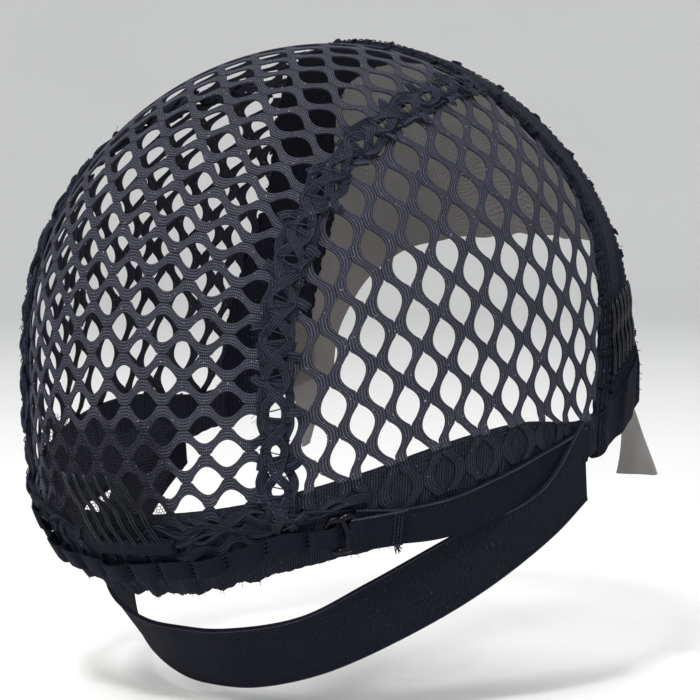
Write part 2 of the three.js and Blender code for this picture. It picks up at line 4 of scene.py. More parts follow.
import bpy
import numpy as np
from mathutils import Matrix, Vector


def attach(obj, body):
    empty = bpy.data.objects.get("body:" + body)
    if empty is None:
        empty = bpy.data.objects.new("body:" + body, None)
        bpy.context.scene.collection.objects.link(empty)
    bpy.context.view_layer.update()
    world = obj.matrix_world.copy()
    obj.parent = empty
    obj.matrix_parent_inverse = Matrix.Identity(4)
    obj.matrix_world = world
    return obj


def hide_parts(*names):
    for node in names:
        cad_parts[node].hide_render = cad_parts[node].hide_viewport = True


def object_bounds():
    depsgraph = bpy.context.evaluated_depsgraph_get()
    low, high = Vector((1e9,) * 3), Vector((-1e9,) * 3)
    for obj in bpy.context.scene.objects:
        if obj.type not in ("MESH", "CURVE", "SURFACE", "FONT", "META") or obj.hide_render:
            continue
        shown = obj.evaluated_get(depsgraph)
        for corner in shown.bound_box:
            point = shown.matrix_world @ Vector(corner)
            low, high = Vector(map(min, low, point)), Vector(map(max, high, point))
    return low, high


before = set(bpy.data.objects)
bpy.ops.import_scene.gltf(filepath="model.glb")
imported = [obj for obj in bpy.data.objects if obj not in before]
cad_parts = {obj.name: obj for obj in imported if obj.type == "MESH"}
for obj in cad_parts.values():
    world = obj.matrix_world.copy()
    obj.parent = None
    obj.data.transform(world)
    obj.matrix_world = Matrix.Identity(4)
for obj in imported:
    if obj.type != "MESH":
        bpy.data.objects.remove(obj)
cad_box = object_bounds()
rng = np.random.default_rng(7)

# Sizes are millimetres from the cap's widest level, which lies CROWN_RISE below the frame's origin
MM = 0.001
HALF_WIDTH, HALF_LENGTH, CROWN_RISE, NAPE_DROP, NAPE_POWER = 76.2, 90.2, 83.2, 82.2, 3.5
MEAN_RADIUS = (HALF_WIDTH + HALF_LENGTH) / 2
SIDES = (("right", False), ("left", True))

NET = {"out": 1.1, "hem_out": 2.5, "fit": 1.8, "step": 0.1, "width": 2.3, "wales": 4, "wale": 0.73,
       "ridge": 0.3, "back": 0.22, "hole_power": 0.85, "stagger": 0.62, "under_seam": 1.6, "under_band": 3,
       "hem_lap": 0.5, "hem_ease": 2.5, "crown_low": 9.0, "crown_tilt": -60, "side_low": 12.4}
SEAM = {"out": 1.4, "over_hem": 1.3, "low": 14.2, "step": 0.5, "tilt": (-39, 119), "wave": 20,
        "loose_threads": 70}
BUNDLE = {"first": 8.0, "pitch": 10.0, "width": 3.8, "half": 4.4, "lift": 0.4}
STUB = {"first": 2.0, "pitch": 7.3, "length": 3.4, "width": 2.4, "root": 2.6}
BAND = {"width": 22, "inner": 0.5, "outer": 2.7, "half_length": 160, "frays": 260, "tufts": 64}
LACE = {"out": 1.1, "flare": 11.1, "flare_start": 101, "half_length": 165, "depth": 36, "cell": 0.62,
        "thread": 0.24, "cover": 0.84}
HEM = {"level": -38, "slope": 0.3, "inner": 0.4, "outer": 2.1, "width": 20, "half_turn": 107.4,
       "back_low": -4, "side_low": 2, "low_half_turn": 8, "frays": 80}
RUFFLE = {"rise": 1.5, "waves": 11, "reach": 50}
GATHER = {"count": 26, "width": 2.5, "high": 20.5}
LOOP_TAPE = {"width": 5.6, "inner": 2.6, "ply": 0.6, "rise": 2.5, "end_rise": 3.4, "lean": 0.55}
STRAP = {"inner": 2.6, "ply": 0.9, "start": 54.8, "end": 102, "double_end": 61.5, "fold": 51.6, "width": 10,
         "lift": 2.3}
HOOK = {"width": 9, "height": 11.4, "seat": 2.75, "turn": 50.2, "level": 9.6, "bar": 0.95, "middle": 0.4}
ELASTIC = {"ply": 1.2, "width": 21, "steps": 260}
NAPE_COMB = {"middle": 8.2, "half": 9.8, "low": 11, "high": 16, "inner": 2.7, "outer": 5.2,
             "teeth": 6, "length": 21, "lean": 8, "radius": 0.32, "seat": 4.9, "margin": 2, "root": 1.5,
             "gap": 0.36, "tip": 0.94, "kink": 0.7}
TULLE = {"from": -18, "to": 19.5, "low": 16.6, "high": 50, "out": 3.2, "cell": 1.0, "thread": 0.1}
TEMPLE_COMB = {"front": -49.5, "rear": -31, "low": 95.5, "slope": 0.32, "depth": 3.2, "width": 4.5,
               "inner": 3.3, "outer": 5.3, "teeth": 6, "length": 14, "radius": 0.4, "seat": 4.4,
               "margin": 1.5, "gap": 0.55, "tip": 0.93, "kink": 0.5}
COMB_RAIL = 0.5

# Radii of sewn threads and of loose ends
THREAD = {"seam_fringe": 0.22, "overlock": 0.17, "eyelet": 0.14, "seam_loose": 0.07, "hem_fray": 0.08,
          "hem_stitch": 0.16, "loop_tack": 0.12, "strap_bar": 0.17, "strap_tail": 0.2, "strap_edge": 0.17,
          "double_edge": 0.24, "elastic_edge": 0.13, "band_stitch": 0.16, "band_fray": 0.1,
          "comb_stitch": 0.2}

# Edges sharper than this angle stay sharp on tapes
CREASE = 60

# The same edges as the solids: seam, band and hairline by tilt, and the cut ends as tilt
SEAM_ROWS = [(-40, 47.0), (-20, 48.3), (0, 48.8), (60, 48.0), (80, 45.8), (100, 39.6), (120, 35.0)]
BAND_ROWS = [(0, -5), (20, -9), (37, -20), (56, -31), (74, -32), (90, -28), (115, -28)]
HAIRLINE_ROWS = [(0, -85.5), (30, -84), (50, -78.5), (65, -71), (80, -64.5), (95, -60), (118, -59)]
TAB_END = {"rear": 110.5, "front": 102.5}
CORNER_END = {"rear": 118, "front": 115.7}

# Tacks of the hook loops as turns from the nape, lower edge of their ribbon, and edges of a strap
LOOP_TACKS = [4.1, 12.3, 20.6, 28.1, 36.4, 44.2, 49.4]
LOOP_ROWS = [(0, 2.0), (9, 3.1), (17, 3.2), (25, 3.8), (33, 6.4), (40, 8.2), (44.5, 7.1), (48, 6.95),
             (51, 6.95)]
STRAP_LOW = [(50, 4.2), (53, 3.8), (60, 2.4), (69, -0.2), (76, -0.9), (85, 0.2), (92, 1.6), (102, 2.2)]
STRAP_HIGH = [(50, 13.8), (53, 13.4), (60, 12.4), (69, 10.9), (76, 11.0), (85, 11.8), (92, 12.2), (102, 12.2)]

# Upper edge of the hem tape by distance to the back
HEM_ROWS = [(-30, 12.5), (-18, 13.7), (-9, 16.6), (2, 20.6), (8, 22.3), (16, 23.8), (27, 25.0), (38, 25.2),
            (49, 24.5), (62, 23.6), (75, 22.5), (95, 22.0)]

# Neck elastic from the right ear tab to the middle of the nape: upper edge, then lower edge
ELASTIC_ROWS = [
    ((-79.4, -14.6, -18.7), (-79.2, -16.3, -40.2)),
    ((-78.6, 2.5, -36.5), (-77.2, -4, -49.5)),
    ((-68.2, 24, -47.1), (-67.5, 15, -64.3)),
    ((-52.4, 41.3, -60.1), (-50.5, 30.5, -77.5)),
    ((-37.3, 51.2, -69.6), (-33, 39.2, -86.3)),
    ((-15.5, 58.6, -74.2), (-14, 44, -91.2)),
    ((0, 60, -74.7), (0, 45, -92)),
]

# Knitted lattice of a net panel: flat millimetres from half pitches along the ribbons (i) and rows (j)
CROWN_LATTICE = {
    "along": {"at": -9.065, "i": 6.04, "j": 0.46, "ii": -0.0114, "ij": 0.0585, "jj": 0.0188},
    "across": {"at": 51.136, "i": -0.27, "j": 7.161, "ii": -0.0482, "ij": -0.0151, "jj": 0.0043},
    "half_pitches": (-9, 13), "rows": (-15, 17), "hole": 0.54, "reach": 0.73,
}
SIDE_LATTICE = {
    "along": {"at": 30.266, "i": 6.925, "j": -1.398, "ii": 0.0212, "ij": -0.0109, "jj": -0.0655},
    "across": {"at": 15.219, "i": 0.275, "j": 6.496, "ii": -0.0555, "ij": 0.0861, "jj": 0.0224},
    "half_pitches": (-11, 9), "rows": (-9, 13), "hole": 0.522, "reach": 0.735,
}

# Strands of a seam: middle and swing to the side, phase, lift and its swing, width
SEAM_STRANDS = [
    (-3.2, 0.7, 0.3, 0.7, 0.3, 2.5),
    (3.2, 0.7, 3.4, 0.7, 0.3, 2.5),
    (-0.2, 2.7, 1.6, 1.5, 0.6, 2.6),
    (0.2, 2.7, 4.74, 1.5, -0.6, 2.6),
]

# Cuts across a strap and across the neck elastic, closer at their corded edges
STRAP_ACROSS = np.r_[0, 0.03, 0.06, 0.1, np.linspace(0.2, 0.8, 5), 0.9, 0.94, 0.97, 1]
ELASTIC_ACROSS = np.r_[0, 0.012, 0.024, 0.05, np.linspace(0.12, 0.88, 9), 0.95, 0.976, 0.988, 1]

# View, floor in metres, and lights by azimuth, elevation, distance, size, power and colour
FORM_CENTRE = Vector((0, 0, -CROWN_RISE * MM))
VIEW = {"azimuth": 224.4, "elevation": 3.0, "distance": 0.9, "lens": 163.4, "middle": (334.5, 343.0),
        "frame": 700}
FLOOR = {"gap": 0.004, "flat": 2.4, "bend": 1.2, "high": 4.0, "sides": 96}
LIGHTS = {
    "key": (190, 42, 1.9, 1.2, 27, (1.0, 0.98, 0.95)),
    "fill": (275, 20, 2.0, 1.4, 2.0, (0.95, 0.97, 1.0)),
    "top": (40, 70, 1.9, 1.4, 14, (1.0, 1.0, 1.0)),
    "glint": (212, 40, 1.3, 0.14, 11, (1.0, 1.0, 1.0)),
    "comb_glint": (238, 25, 1.3, 0.06, 2.2, (1.0, 1.0, 1.0)),
}


# Shape of the cap

def blend(a, b, t):
    return a + (b - a) * t


def smoothstep(x, low, high):
    t = np.clip((np.asarray(x, float) - low) / (high - low), 0, 1)
    return t * t * (3 - 2 * t)


def through(rows):
    """Smooth curve through table rows: a cubic between rows with averaged slopes."""
    keys, values = np.array(rows, float).T
    before, after = np.r_[0, np.arange(len(keys) - 1)], np.r_[np.arange(1, len(keys)), len(keys) - 1]
    slopes = (values[after] - values[before]) / (keys[after] - keys[before])

    def curve(at):
        k = np.clip(np.searchsorted(keys, at) - 1, 0, len(keys) - 2)
        step = keys[k + 1] - keys[k]
        t = np.clip((at - keys[k]) / step, 0, 1)
        rest = 1 - t
        start = (1 + 2 * t) * values[k] + t * step * slopes[k]
        end = (1 + 2 * rest) * values[k + 1] - rest * step * slopes[k + 1]
        return rest**2 * start + t**2 * end

    return curve


seam_x, band_rear, hairline = through(SEAM_ROWS), through(BAND_ROWS), through(HAIRLINE_ROWS)
loop_low, strap_low, strap_high = through(LOOP_ROWS), through(STRAP_LOW), through(STRAP_HIGH)
hem_height = through(HEM_ROWS)


def point(x, y, z):
    return np.stack(np.broadcast_arrays(*(np.asarray(c, float) for c in (x, y, z))), -1)


def level_scale(z, out):
    """Size of the level section at a height, as a share of the widest one."""
    above = (z / (CROWN_RISE + out)) ** 2
    below = (np.maximum(-z, 0) / (NAPE_DROP + out)) ** NAPE_POWER
    return np.sqrt(np.maximum(0, 1 - np.where(z >= 0, above, below)))


def reach(start, step, out):
    """Where rays from inside the cap meet the layer at a distance out from the inner face."""
    low = np.zeros(np.broadcast_shapes(start.shape, step.shape)[:-1])
    high = low + 1.5
    for _ in range(34):
        middle = (low + high) / 2
        p = start + step * middle[..., None]
        size = np.hypot(p[..., 0] / (HALF_WIDTH + out), p[..., 1] / (HALF_LENGTH + out))
        inside = size < level_scale(p[..., 2], out)
        low, high = np.where(inside, middle, low), np.where(inside, high, middle)
    return start + step * low[..., None]


def crown_point(x, tilt, out):
    """Layer point by distance from the midline and tilt from the back, up over the crown."""
    angle = np.radians(tilt)
    step = point(0, HALF_LENGTH * np.cos(angle), CROWN_RISE * np.sin(angle))
    return reach(point(x, 0 * angle, 0), step, np.asarray(out, float))


def hoop_point(tilt, y, out):
    """Layer point by tilt from the crown towards the right ear and distance to the back."""
    angle = np.radians(tilt)
    step = point(-HALF_WIDTH * np.sin(angle), 0, CROWN_RISE * np.cos(angle))
    return reach(point(0 * angle, y, 0), step, np.asarray(out, float))


def side_point(y, z, out):
    """Layer point on the wearer's right, straight out from the middle plane."""
    return reach(point(0, y, z), point(-HALF_WIDTH, 0, 0), np.asarray(out, float))


def hem_point(turn, height, out):
    """Layer point by turn from the middle of the nape to the right and height above the hem."""
    angle = np.radians(turn)
    z = HEM["level"] + height + 0 * angle
    for _ in range(12):
        y = (HALF_LENGTH + out) * level_scale(z, out) * np.cos(angle)
        z = HEM["level"] - HEM["slope"] * y + height
    return point(-(HALF_WIDTH + out) * level_scale(z, out) * np.sin(angle), y, z)


def outward(p):
    """Unit direction out of the cap at a point near its surface."""
    x, y, z = np.moveaxis(p, -1, 0)
    above = z / CROWN_RISE**2
    below = -NAPE_POWER / (2 * NAPE_DROP) * (np.maximum(-z, 0) / NAPE_DROP) ** (NAPE_POWER - 1)
    return unit(point(x / HALF_WIDTH**2, y / HALF_LENGTH**2, np.where(z >= 0, above, below)))


def unit(v):
    return v / np.maximum(np.linalg.norm(v, axis=-1, keepdims=True), 1e-9)


def hoop_tilt(p):
    return np.degrees(np.arctan2(np.abs(p[..., 0]) / HALF_WIDTH, p[..., 2] / CROWN_RISE))


def back_tilt(p):
    return np.degrees(np.arctan2(p[..., 2] / CROWN_RISE, p[..., 1] / HALF_LENGTH))


def above_hem(p):
    """Height of a point above the hem's level."""
    return p[..., 2] - HEM["level"] + HEM["slope"] * p[..., 1]


def hem_low(turn):
    return blend(HEM["back_low"], HEM["side_low"],
                 smoothstep(np.abs(turn), HEM["low_half_turn"], RUFFLE["reach"]))


def turn_length(turn):
    return np.radians(turn) * MEAN_RADIUS


def run_length(line):
    """Length along a line at each of its points."""
    return np.r_[0, np.cumsum(np.linalg.norm(np.diff(line, axis=0), axis=1))]


def at_lengths(line, lengths):
    """Points of a line at the given lengths along it."""
    along = run_length(line)
    return np.stack([np.interp(lengths, along, line[:, k]) for k in range(3)], 1)


def even_curve(rows, count):
    """Catmull-Rom curve (centripetal) through points, by even steps of its length."""
    p = np.array(rows, float)
    p = np.concatenate([2 * p[:1] - p[1:2], p, 2 * p[-1:] - p[-2:-1]])
    knots = np.r_[0, np.cumsum(np.sqrt(np.linalg.norm(np.diff(p, axis=0), axis=1)))]
    line = []
    for k in range(1, len(p) - 2):
        t0, t1, t2, t3 = knots[k - 1:k + 3]
        t = np.linspace(t1, t2, 40, endpoint=k == len(p) - 3)[:, None]
        a1 = ((t1 - t) * p[k - 1] + (t - t0) * p[k]) / (t1 - t0)
        a2 = ((t2 - t) * p[k] + (t - t1) * p[k + 1]) / (t2 - t1)
        a3 = ((t3 - t) * p[k + 1] + (t - t2) * p[k + 2]) / (t3 - t2)
        b1 = ((t2 - t) * a1 + (t - t0) * a2) / (t2 - t0)
        b2 = ((t3 - t) * a2 + (t - t1) * a3) / (t3 - t1)
        line.append(((t2 - t) * b1 + (t - t1) * b2) / (t2 - t1))
    line = np.concatenate(line)
    return at_lengths(line, np.linspace(0, run_length(line)[-1], count))


def ribbon_frame(line, out):
    """Directions along a ribbon's middle line, across it and out of it."""
    tangent = unit(np.gradient(line, axis=0))
    across = unit(np.cross(out, tangent))
    return tangent, across, np.cross(tangent, across)


def rolled(across, out, angle):
    """Directions across and out, turned about the line by an angle at each point."""
    c, s = np.cos(angle)[..., None], np.sin(angle)[..., None]
    return across * c + out * s, out * c - across * s


def welt(v, edge, width):
    """Raised cord along both edges of a tape, as a share of its height."""
    return np.exp(-((v - edge) / width) ** 2) + np.exp(-((v - 1 + edge) / width) ** 2)


# Meshes

def quads(table):
    """Corners of every cell of a grid, in turn."""
    parts = [table[:-1, :-1], table[:-1, 1:], table[1:, 1:], table[1:, :-1]]
    return np.stack(parts, 2).reshape(-1, 4, *table.shape[2:])


class Piece:
    """Collects parts into one mesh, with flat millimetre coordinates for its material."""

    def __init__(self):
        self.points, self.faces, self.flats, self.count = [], [], [], 0

    def add(self, points, cells, flats, ends=(), closed=True):
        """A part by its cells and end faces; a closed part has its faces turned outward."""
        corners = points[cells] - points.mean(0)
        fan = np.cross(corners[:, 1], corners[:, 2]) + np.cross(corners[:, 2], corners[:, 3])
        step = -1 if closed and np.sum(corners[:, 0] * fan) < 0 else 1
        self.points.append(points)
        self.faces += (cells[:, ::step] + self.count).tolist()
        self.flats.append(flats[:, ::step].reshape(-1, 2))
        for loop, place in ends:
            self.faces.append((loop[::step] + self.count).tolist())
            self.flats.append(place[::step])
        self.count += len(points)

    def grid(self, points, flat, ring=False):
        """An open sheet, or a tube with both ends closed."""
        rows, columns = points.shape[:2]
        ids = np.arange(rows * columns).reshape(rows, columns)
        ends = []
        if ring:
            ends = [(ids[0, ::-1], flat[0, :columns][::-1]), (ids[-1], flat[-1, :columns])]
        cells = quads(np.concatenate([ids, ids[:, :1]], 1) if ring else ids)
        self.add(points.reshape(-1, 3), cells, quads(flat), ends, closed=ring)

    def tube(self, points, along, girth):
        """A closed tube from rings of points, by the lengths along it and round it."""
        self.grid(points, np.stack(np.broadcast_arrays(along[:, None], girth[None]), -1), ring=True)

    def sweep(self, middle, across, out, section, start=0.0):
        """A closed section (across, out) carried along a line."""
        points = middle[:, None] + across[:, None] * section[:, 0:1] + out[:, None] * section[:, 1:2]
        self.tube(points, start + run_length(middle), run_length(np.concatenate([section, section[:1]])))

    def wire(self, line, radius, sides=6):
        """Round wire or thread through points, with one radius or one for each point."""
        tangent = unit(np.gradient(line, axis=0))
        spare = np.eye(3)[np.argmin(np.abs(tangent).mean(0))]
        side = unit(np.cross(tangent, spare))
        up = np.cross(side, tangent)
        turns = np.arange(sides) * 2 * math.pi / sides
        size = np.broadcast_to(np.asarray(radius, float), len(line))[:, None, None]
        ring = side[:, None] * np.cos(turns)[:, None] + up[:, None] * np.sin(turns)[:, None]
        girth = np.arange(sides + 1) * float(np.mean(size)) * 2 * math.pi / sides
        self.tube(line[:, None] + ring * size, run_length(line), girth)

    def wall(self, place, us, vs, inner, outer, flat):
        """Closed wall between two layers over a grid of (u, v)."""
        u, v = np.meshgrid(us, vs, indexing="ij")
        top, back, places = place(u, v, outer), place(u, v, inner), flat(u, v)
        points = np.concatenate([top, back[:, ::-1]], 1)
        ids = np.arange(points.size // 3).reshape(points.shape[:2])
        cells = [quads(np.concatenate([ids, ids[:, :1]], 1))]
        flats = [quads(np.concatenate([places, places[:, ::-1], places[:, :1]], 1))]
        for row, step in ((0, -1), (-1, 1)):
            cells.append(quads(np.stack([ids[row, :len(vs)], ids[row, ::-1][:len(vs)]]))[:, ::step])
            flats.append(quads(np.stack([places[row]] * 2))[:, ::step])
        self.add(points.reshape(-1, 3), np.concatenate(cells), np.concatenate(flats))

    def finish(self, name, material, slot, replaces=(), mirror=False, crease=None):
        """Make the object, on the wearer's left if mirrored, with edges sharper than the crease kept."""
        mesh = bpy.data.meshes.new(name)
        points = np.concatenate(self.points) * ((-1, 1, 1) if mirror else 1)
        mesh.from_pydata(points * MM + (0, 0, -CROWN_RISE * MM), [], self.faces)
        layer = mesh.uv_layers.new(name="flat")
        layer.uv.foreach_set("vector", np.concatenate(self.flats).astype(np.float32).ravel())
        if mirror:
            mesh.flip_normals()
        mesh.polygons.foreach_set("use_smooth", [True] * len(mesh.polygons))
        if crease:
            mesh.set_sharp_from_angle(angle=math.radians(crease))
        mesh.materials.append(material)
        thing = bpy.data.objects.new(name, mesh)
        bpy.context.scene.collection.objects.link(thing)
        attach(thing, "root")
        if replaces:
            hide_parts(*replaces)
        return thing


def ribbed_section(width, wales, height, depth):
    """Section of a knitted ribbon: a ridge for each wale on top and a flat back."""
    t = np.linspace(-1, 1, 2 * wales + 1)
    ridge = np.where(np.arange(len(t)) % 2, 1.0, 0.3)
    ridge[[0, -1]] = 0.1
    top = np.stack([t * width / 2, ridge * height], 1)
    back = np.array([[0.95, -depth], [-0.95, -depth]]) * (width / 2, 1)
    return np.concatenate([top[::-1], back[::-1]])


def runs(mask, least=4):
    """Start and end of each stretch of true values."""
    edges = np.flatnonzero(np.diff(np.r_[0, mask.astype(int), 0]))
    return [(a, b) for a, b in edges.reshape(-1, 2) if b - a >= least]


# Finishes

class Shader:
    """Short way to write a node tree."""

    def __init__(self, tree):
        self.tree = tree

    def node(self, kind, **inputs):
        node = self.tree.nodes.new(kind)
        for name, value in inputs.items():
            self.feed(node, name.replace("_", " "), value)
        return node

    def feed(self, node, socket, value):
        target = node.inputs[socket]
        if isinstance(value, bpy.types.NodeSocket):
            self.tree.links.new(value, target)
        else:
            target.default_value = value

    def math(self, operation, *values):
        node = self.tree.nodes.new("ShaderNodeMath")
        node.operation = operation
        for i, value in enumerate(values):
            self.feed(node, i, value)
        return node.outputs[0]

    def mix(self, share, a, b):
        node = self.tree.nodes.new("ShaderNodeMix")
        node.data_type = "RGBA"
        self.feed(node, 0, share)
        self.feed(node, 6, a)
        self.feed(node, 7, b)
        return node.outputs[2]

    def above(self, value, level):
        return self.math("MAXIMUM", self.math("SUBTRACT", value, level), 0.0)

    def from_half(self, value):
        """How far the fraction of a value lies from one half."""
        return self.math("ABSOLUTE", self.math("SUBTRACT", self.math("FRACT", value), 0.5))

    def noise(self, place, scale, detail):
        return self.node("ShaderNodeTexNoise", Vector=place, Scale=scale, Detail=detail).outputs["Fac"]

    def place(self):
        return self.node("ShaderNodeTexCoord").outputs["Object"]

    def relief(self, surface, height, strength, depth):
        bump = self.node("ShaderNodeBump", Strength=strength, Distance=depth, Height=height)
        self.feed(surface, "Normal", bump.outputs["Normal"])


def node_group(name, inputs, outputs):
    group = bpy.data.node_groups.new(name, "ShaderNodeTree")
    for socket, kind, value in inputs:
        made = group.interface.new_socket(socket, in_out="INPUT", socket_type=kind)
        if value is not None:
            made.default_value = value
    for socket, kind in outputs:
        group.interface.new_socket(socket, in_out="OUTPUT", socket_type=kind)
    shader = Shader(group)
    return group, shader, shader.node("NodeGroupInput"), shader.node("NodeGroupOutput")


# The painted highlight of a knit fades towards the edges of a ribbon, painting shade along them, and a wide
# cloth has no edges
SHADED_EDGE = {"width": 0.5, "least": 0.12}
NO_EDGES = (-1000.0, 1000.0)


def knit_group():
    """Chain stitches in wales: a height, and a mask of the light that the stitches catch."""
    group, s, take, give = node_group(
        "knit_stitches",
        [("Flat", "NodeSocketVector", None), ("Wale", "NodeSocketFloat", 0.8),
         ("Stitch", "NodeSocketFloat", 0.7), ("Near Edge", "NodeSocketFloat", NO_EDGES[0]),
         ("Far Edge", "NodeSocketFloat", NO_EDGES[1])],
        [("Height", "NodeSocketFloat"), ("Glint", "NodeSocketFloat")])
    flat = s.node("ShaderNodeSeparateXYZ", Vector=take.outputs["Flat"])
    lean = s.from_half(s.math("DIVIDE", flat.outputs["Y"], take.outputs["Wale"]))
    row = s.math("ADD", s.math("DIVIDE", flat.outputs["X"], take.outputs["Stitch"]), lean)
    loop = s.from_half(row)
    rib = s.math("SUBTRACT", 0.5, lean)
    s.feed(give, "Height", s.math("ADD", s.math("MULTIPLY", loop, 0.45), rib))
    # Painted highlight: specks of light on the crests of the stitches along each wale
    bright = s.math("MULTIPLY", s.math("MULTIPLY", s.above(loop, 0.12), s.above(rib, 0.2)), 26.0)
    # Painted shade along the ribbon's edges: the highlight fades over the edge width
    inside = s.math("MINIMUM", s.math("SUBTRACT", flat.outputs["Y"], take.outputs["Near Edge"]),
                    s.math("SUBTRACT", take.outputs["Far Edge"], flat.outputs["Y"]))
    share = s.math("MINIMUM", 1.0, s.math("DIVIDE", inside, SHADED_EDGE["width"]))
    edge_shade = s.math("MAXIMUM", SHADED_EDGE["least"], share)
    noise = s.noise(take.outputs["Flat"], 0.9, 2.0)
    s.feed(give, "Glint", s.math("MULTIPLY", s.math("MULTIPLY", bright, edge_shade), noise))
    return group


def weave_group():
    """Close elastic weave: fine ribs across the tape, broken by a slant of picks, with a painted highlight on
    the rib crests.
    """
    group, s, take, give = node_group(
        "elastic_weave",
        [("Flat", "NodeSocketVector", None), ("Rib", "NodeSocketFloat", 0.62),
         ("Pick", "NodeSocketFloat", 0.8)],
        [("Height", "NodeSocketFloat"), ("Glint", "NodeSocketFloat")])
    flat = s.node("ShaderNodeSeparateXYZ", Vector=take.outputs["Flat"])
    along = s.math("DIVIDE", flat.outputs["X"], take.outputs["Rib"])
    across = s.math("DIVIDE", flat.outputs["Y"], take.outputs["Pick"])
    rib = s.from_half(s.math("ADD", along, s.math("MULTIPLY", across, 0.12)))
    pick = s.from_half(across)
    s.feed(give, "Height", s.math("ADD", rib, s.math("MULTIPLY", pick, 0.4)))
    noise = s.noise(take.outputs["Flat"], 0.8, 3.0)
    # Painted highlight: dots of light along the crests of the ribs
    dotted = s.math("MULTIPLY", s.above(rib, 0.15), s.math("ADD", pick, 0.25))
    s.feed(give, "Glint", s.math("MULTIPLY", s.math("MULTIPLY", dotted, noise), 7.0))
    return group


def tone_group():
    """Cloth colour with slow changes of tone, painted highlights towards the pale colour, and specks of lint.
    """
    group, s, take, give = node_group(
        "cloth_tone",
        [("Place", "NodeSocketVector", None), ("Deep", "NodeSocketColor", None),
         ("Pale", "NodeSocketColor", None), ("Lint", "NodeSocketColor", None),
         ("Mask", "NodeSocketFloat", 0.0)],
        [("Color", "NodeSocketColor"), ("Roughness", "NodeSocketFloat")])
    slow, fine = s.noise(take.outputs["Place"], 90.0, 3.0), s.noise(take.outputs["Place"], 1400.0, 2.0)
    tone = s.math("ADD", s.math("MULTIPLY", slow, 0.16), take.outputs["Mask"])
    base = s.mix(tone, take.outputs["Deep"], take.outputs["Pale"])
    speck = s.math("GREATER_THAN", fine, 0.71)
    s.feed(give, "Color", s.mix(speck, base, take.outputs["Lint"]))
    s.feed(give, "Roughness", s.math("ADD", 0.62, s.math("MULTIPLY", slow, 0.3)))
    return group


def lace_group():
    """Hexagonal lace: one on the threads and nought in the holes."""
    group, s, take, give = node_group(
        "hexagon_lace",
        [("Flat", "NodeSocketVector", None), ("Cell", "NodeSocketFloat", 1.2),
         ("Thread", "NodeSocketFloat", 0.2)],
        [("Thread", "NodeSocketFloat"), ("Height", "NodeSocketFloat")])
    flat = s.node("ShaderNodeSeparateXYZ", Vector=take.outputs["Flat"])
    sway = s.math("MULTIPLY", s.noise(take.outputs["Flat"], 0.35, 2.0), 2.4)
    x = s.math("ADD", s.math("DIVIDE", flat.outputs["X"], take.outputs["Cell"]), sway)
    y = s.math("ADD", s.math("DIVIDE", flat.outputs["Y"], take.outputs["Cell"]), sway)
    tall = math.sqrt(3)

    def centred(shift):
        px = s.from_half(s.math("ADD", x, shift))
        py = s.math("MULTIPLY", s.from_half(s.math("ADD", s.math("DIVIDE", y, tall), shift)), tall)
        slant = s.math("ADD", s.math("MULTIPLY", px, 0.5), s.math("MULTIPLY", py, tall / 2))
        return s.math("MAXIMUM", px, slant)

    away = s.math("SUBTRACT", 0.5, s.math("MINIMUM", centred(0.0), centred(0.5)))
    share = s.math("DIVIDE", away, take.outputs["Thread"])
    rise = s.math("MAXIMUM", 0.0, s.math("SUBTRACT", 1.0, share))
    s.feed(give, "Height", rise)
    s.feed(give, "Thread", s.math("MINIMUM", 1.0, s.math("MULTIPLY", rise, 3.0)))
    return group


KNIT, WEAVE, TONE, HEXAGON = knit_group(), weave_group(), tone_group(), lace_group()


def start_material(name, **settings):
    material = bpy.data.materials.new(name)
    material.use_nodes = True
    tree = material.node_tree
    tree.nodes.clear()
    s = Shader(tree)
    surface = s.node("ShaderNodeBsdfPrincipled")
    for socket, value in settings.items():
        s.feed(surface, socket.replace("_", " "), value)
    output = s.node("ShaderNodeOutputMaterial")
    tree.links.new(surface.outputs["BSDF"], output.inputs["Surface"])
    flat = s.node("ShaderNodeUVMap")
    flat.uv_map = "flat"
    return material, s, surface, flat.outputs["UV"]


def use_group(s, group, **inputs):
    node = s.node("ShaderNodeGroup")
    node.node_tree = group
    for socket, value in inputs.items():
        s.feed(node, socket.replace("_", " "), value)
    return node


def cloth_finish(name, group, colours, bump, sheen, sheen_roughness, **sizes):
    """Cloth by the group of its stitches, with tone, painted highlights and lint in three colours."""
    material, s, surface, flat = start_material(
        name, Specular_IOR_Level=0.05, Sheen_Weight=sheen, Sheen_Roughness=sheen_roughness,
        Sheen_Tint=(0.6, 0.65, 0.9, 1))
    stitches = use_group(s, group, Flat=flat, **sizes)
    # Painted highlight: the stitches' glint lifts the colour towards the pale one
    mask = s.math("MULTIPLY", stitches.outputs["Glint"], 0.9)
    deep, pale, lint = colours
    tone = use_group(s, TONE, Place=s.place(), Deep=deep, Pale=pale, Lint=lint, Mask=mask)
    s.feed(surface, "Base Color", tone.outputs["Color"])
    s.feed(surface, "Roughness", tone.outputs["Roughness"])
    s.relief(surface, stitches.outputs["Height"], bump, 0.0004)
    return material


def knit_finish(name, colours, wale, stitch, bump, sheen, edges=NO_EDGES):
    return cloth_finish(name, KNIT, colours, bump, sheen, 0.4, Wale=wale, Stitch=stitch,
                        Near_Edge=edges[0], Far_Edge=edges[1])


def woven_finish(name, colours, rib, pick, bump, sheen):
    return cloth_finish(name, WEAVE, colours, bump, sheen, 0.5, Rib=rib, Pick=pick)


def lace_finish(name, colour, cell, thread, cover):
    """Sheer lace: threads stand on a faint film of finer threads."""
    material, s, surface, flat = start_material(
        name, Roughness=0.8, Sheen_Weight=0.3, Sheen_Roughness=0.5)
    hexagon = use_group(s, HEXAGON, Flat=flat, Cell=cell, Thread=thread)
    deep, pale = ([c * share for c in colour] + [1] for share in (0.7, 1.3))
    s.feed(surface, "Base Color", s.mix(s.noise(s.place(), 60.0, 3.0), deep, pale))
    film = s.math("ADD", cover, s.math("MULTIPLY", hexagon.outputs["Thread"], 1 - cover))
    s.feed(surface, "Alpha", film)
    s.relief(surface, hexagon.outputs["Height"], 0.6, 0.0003)
    return material


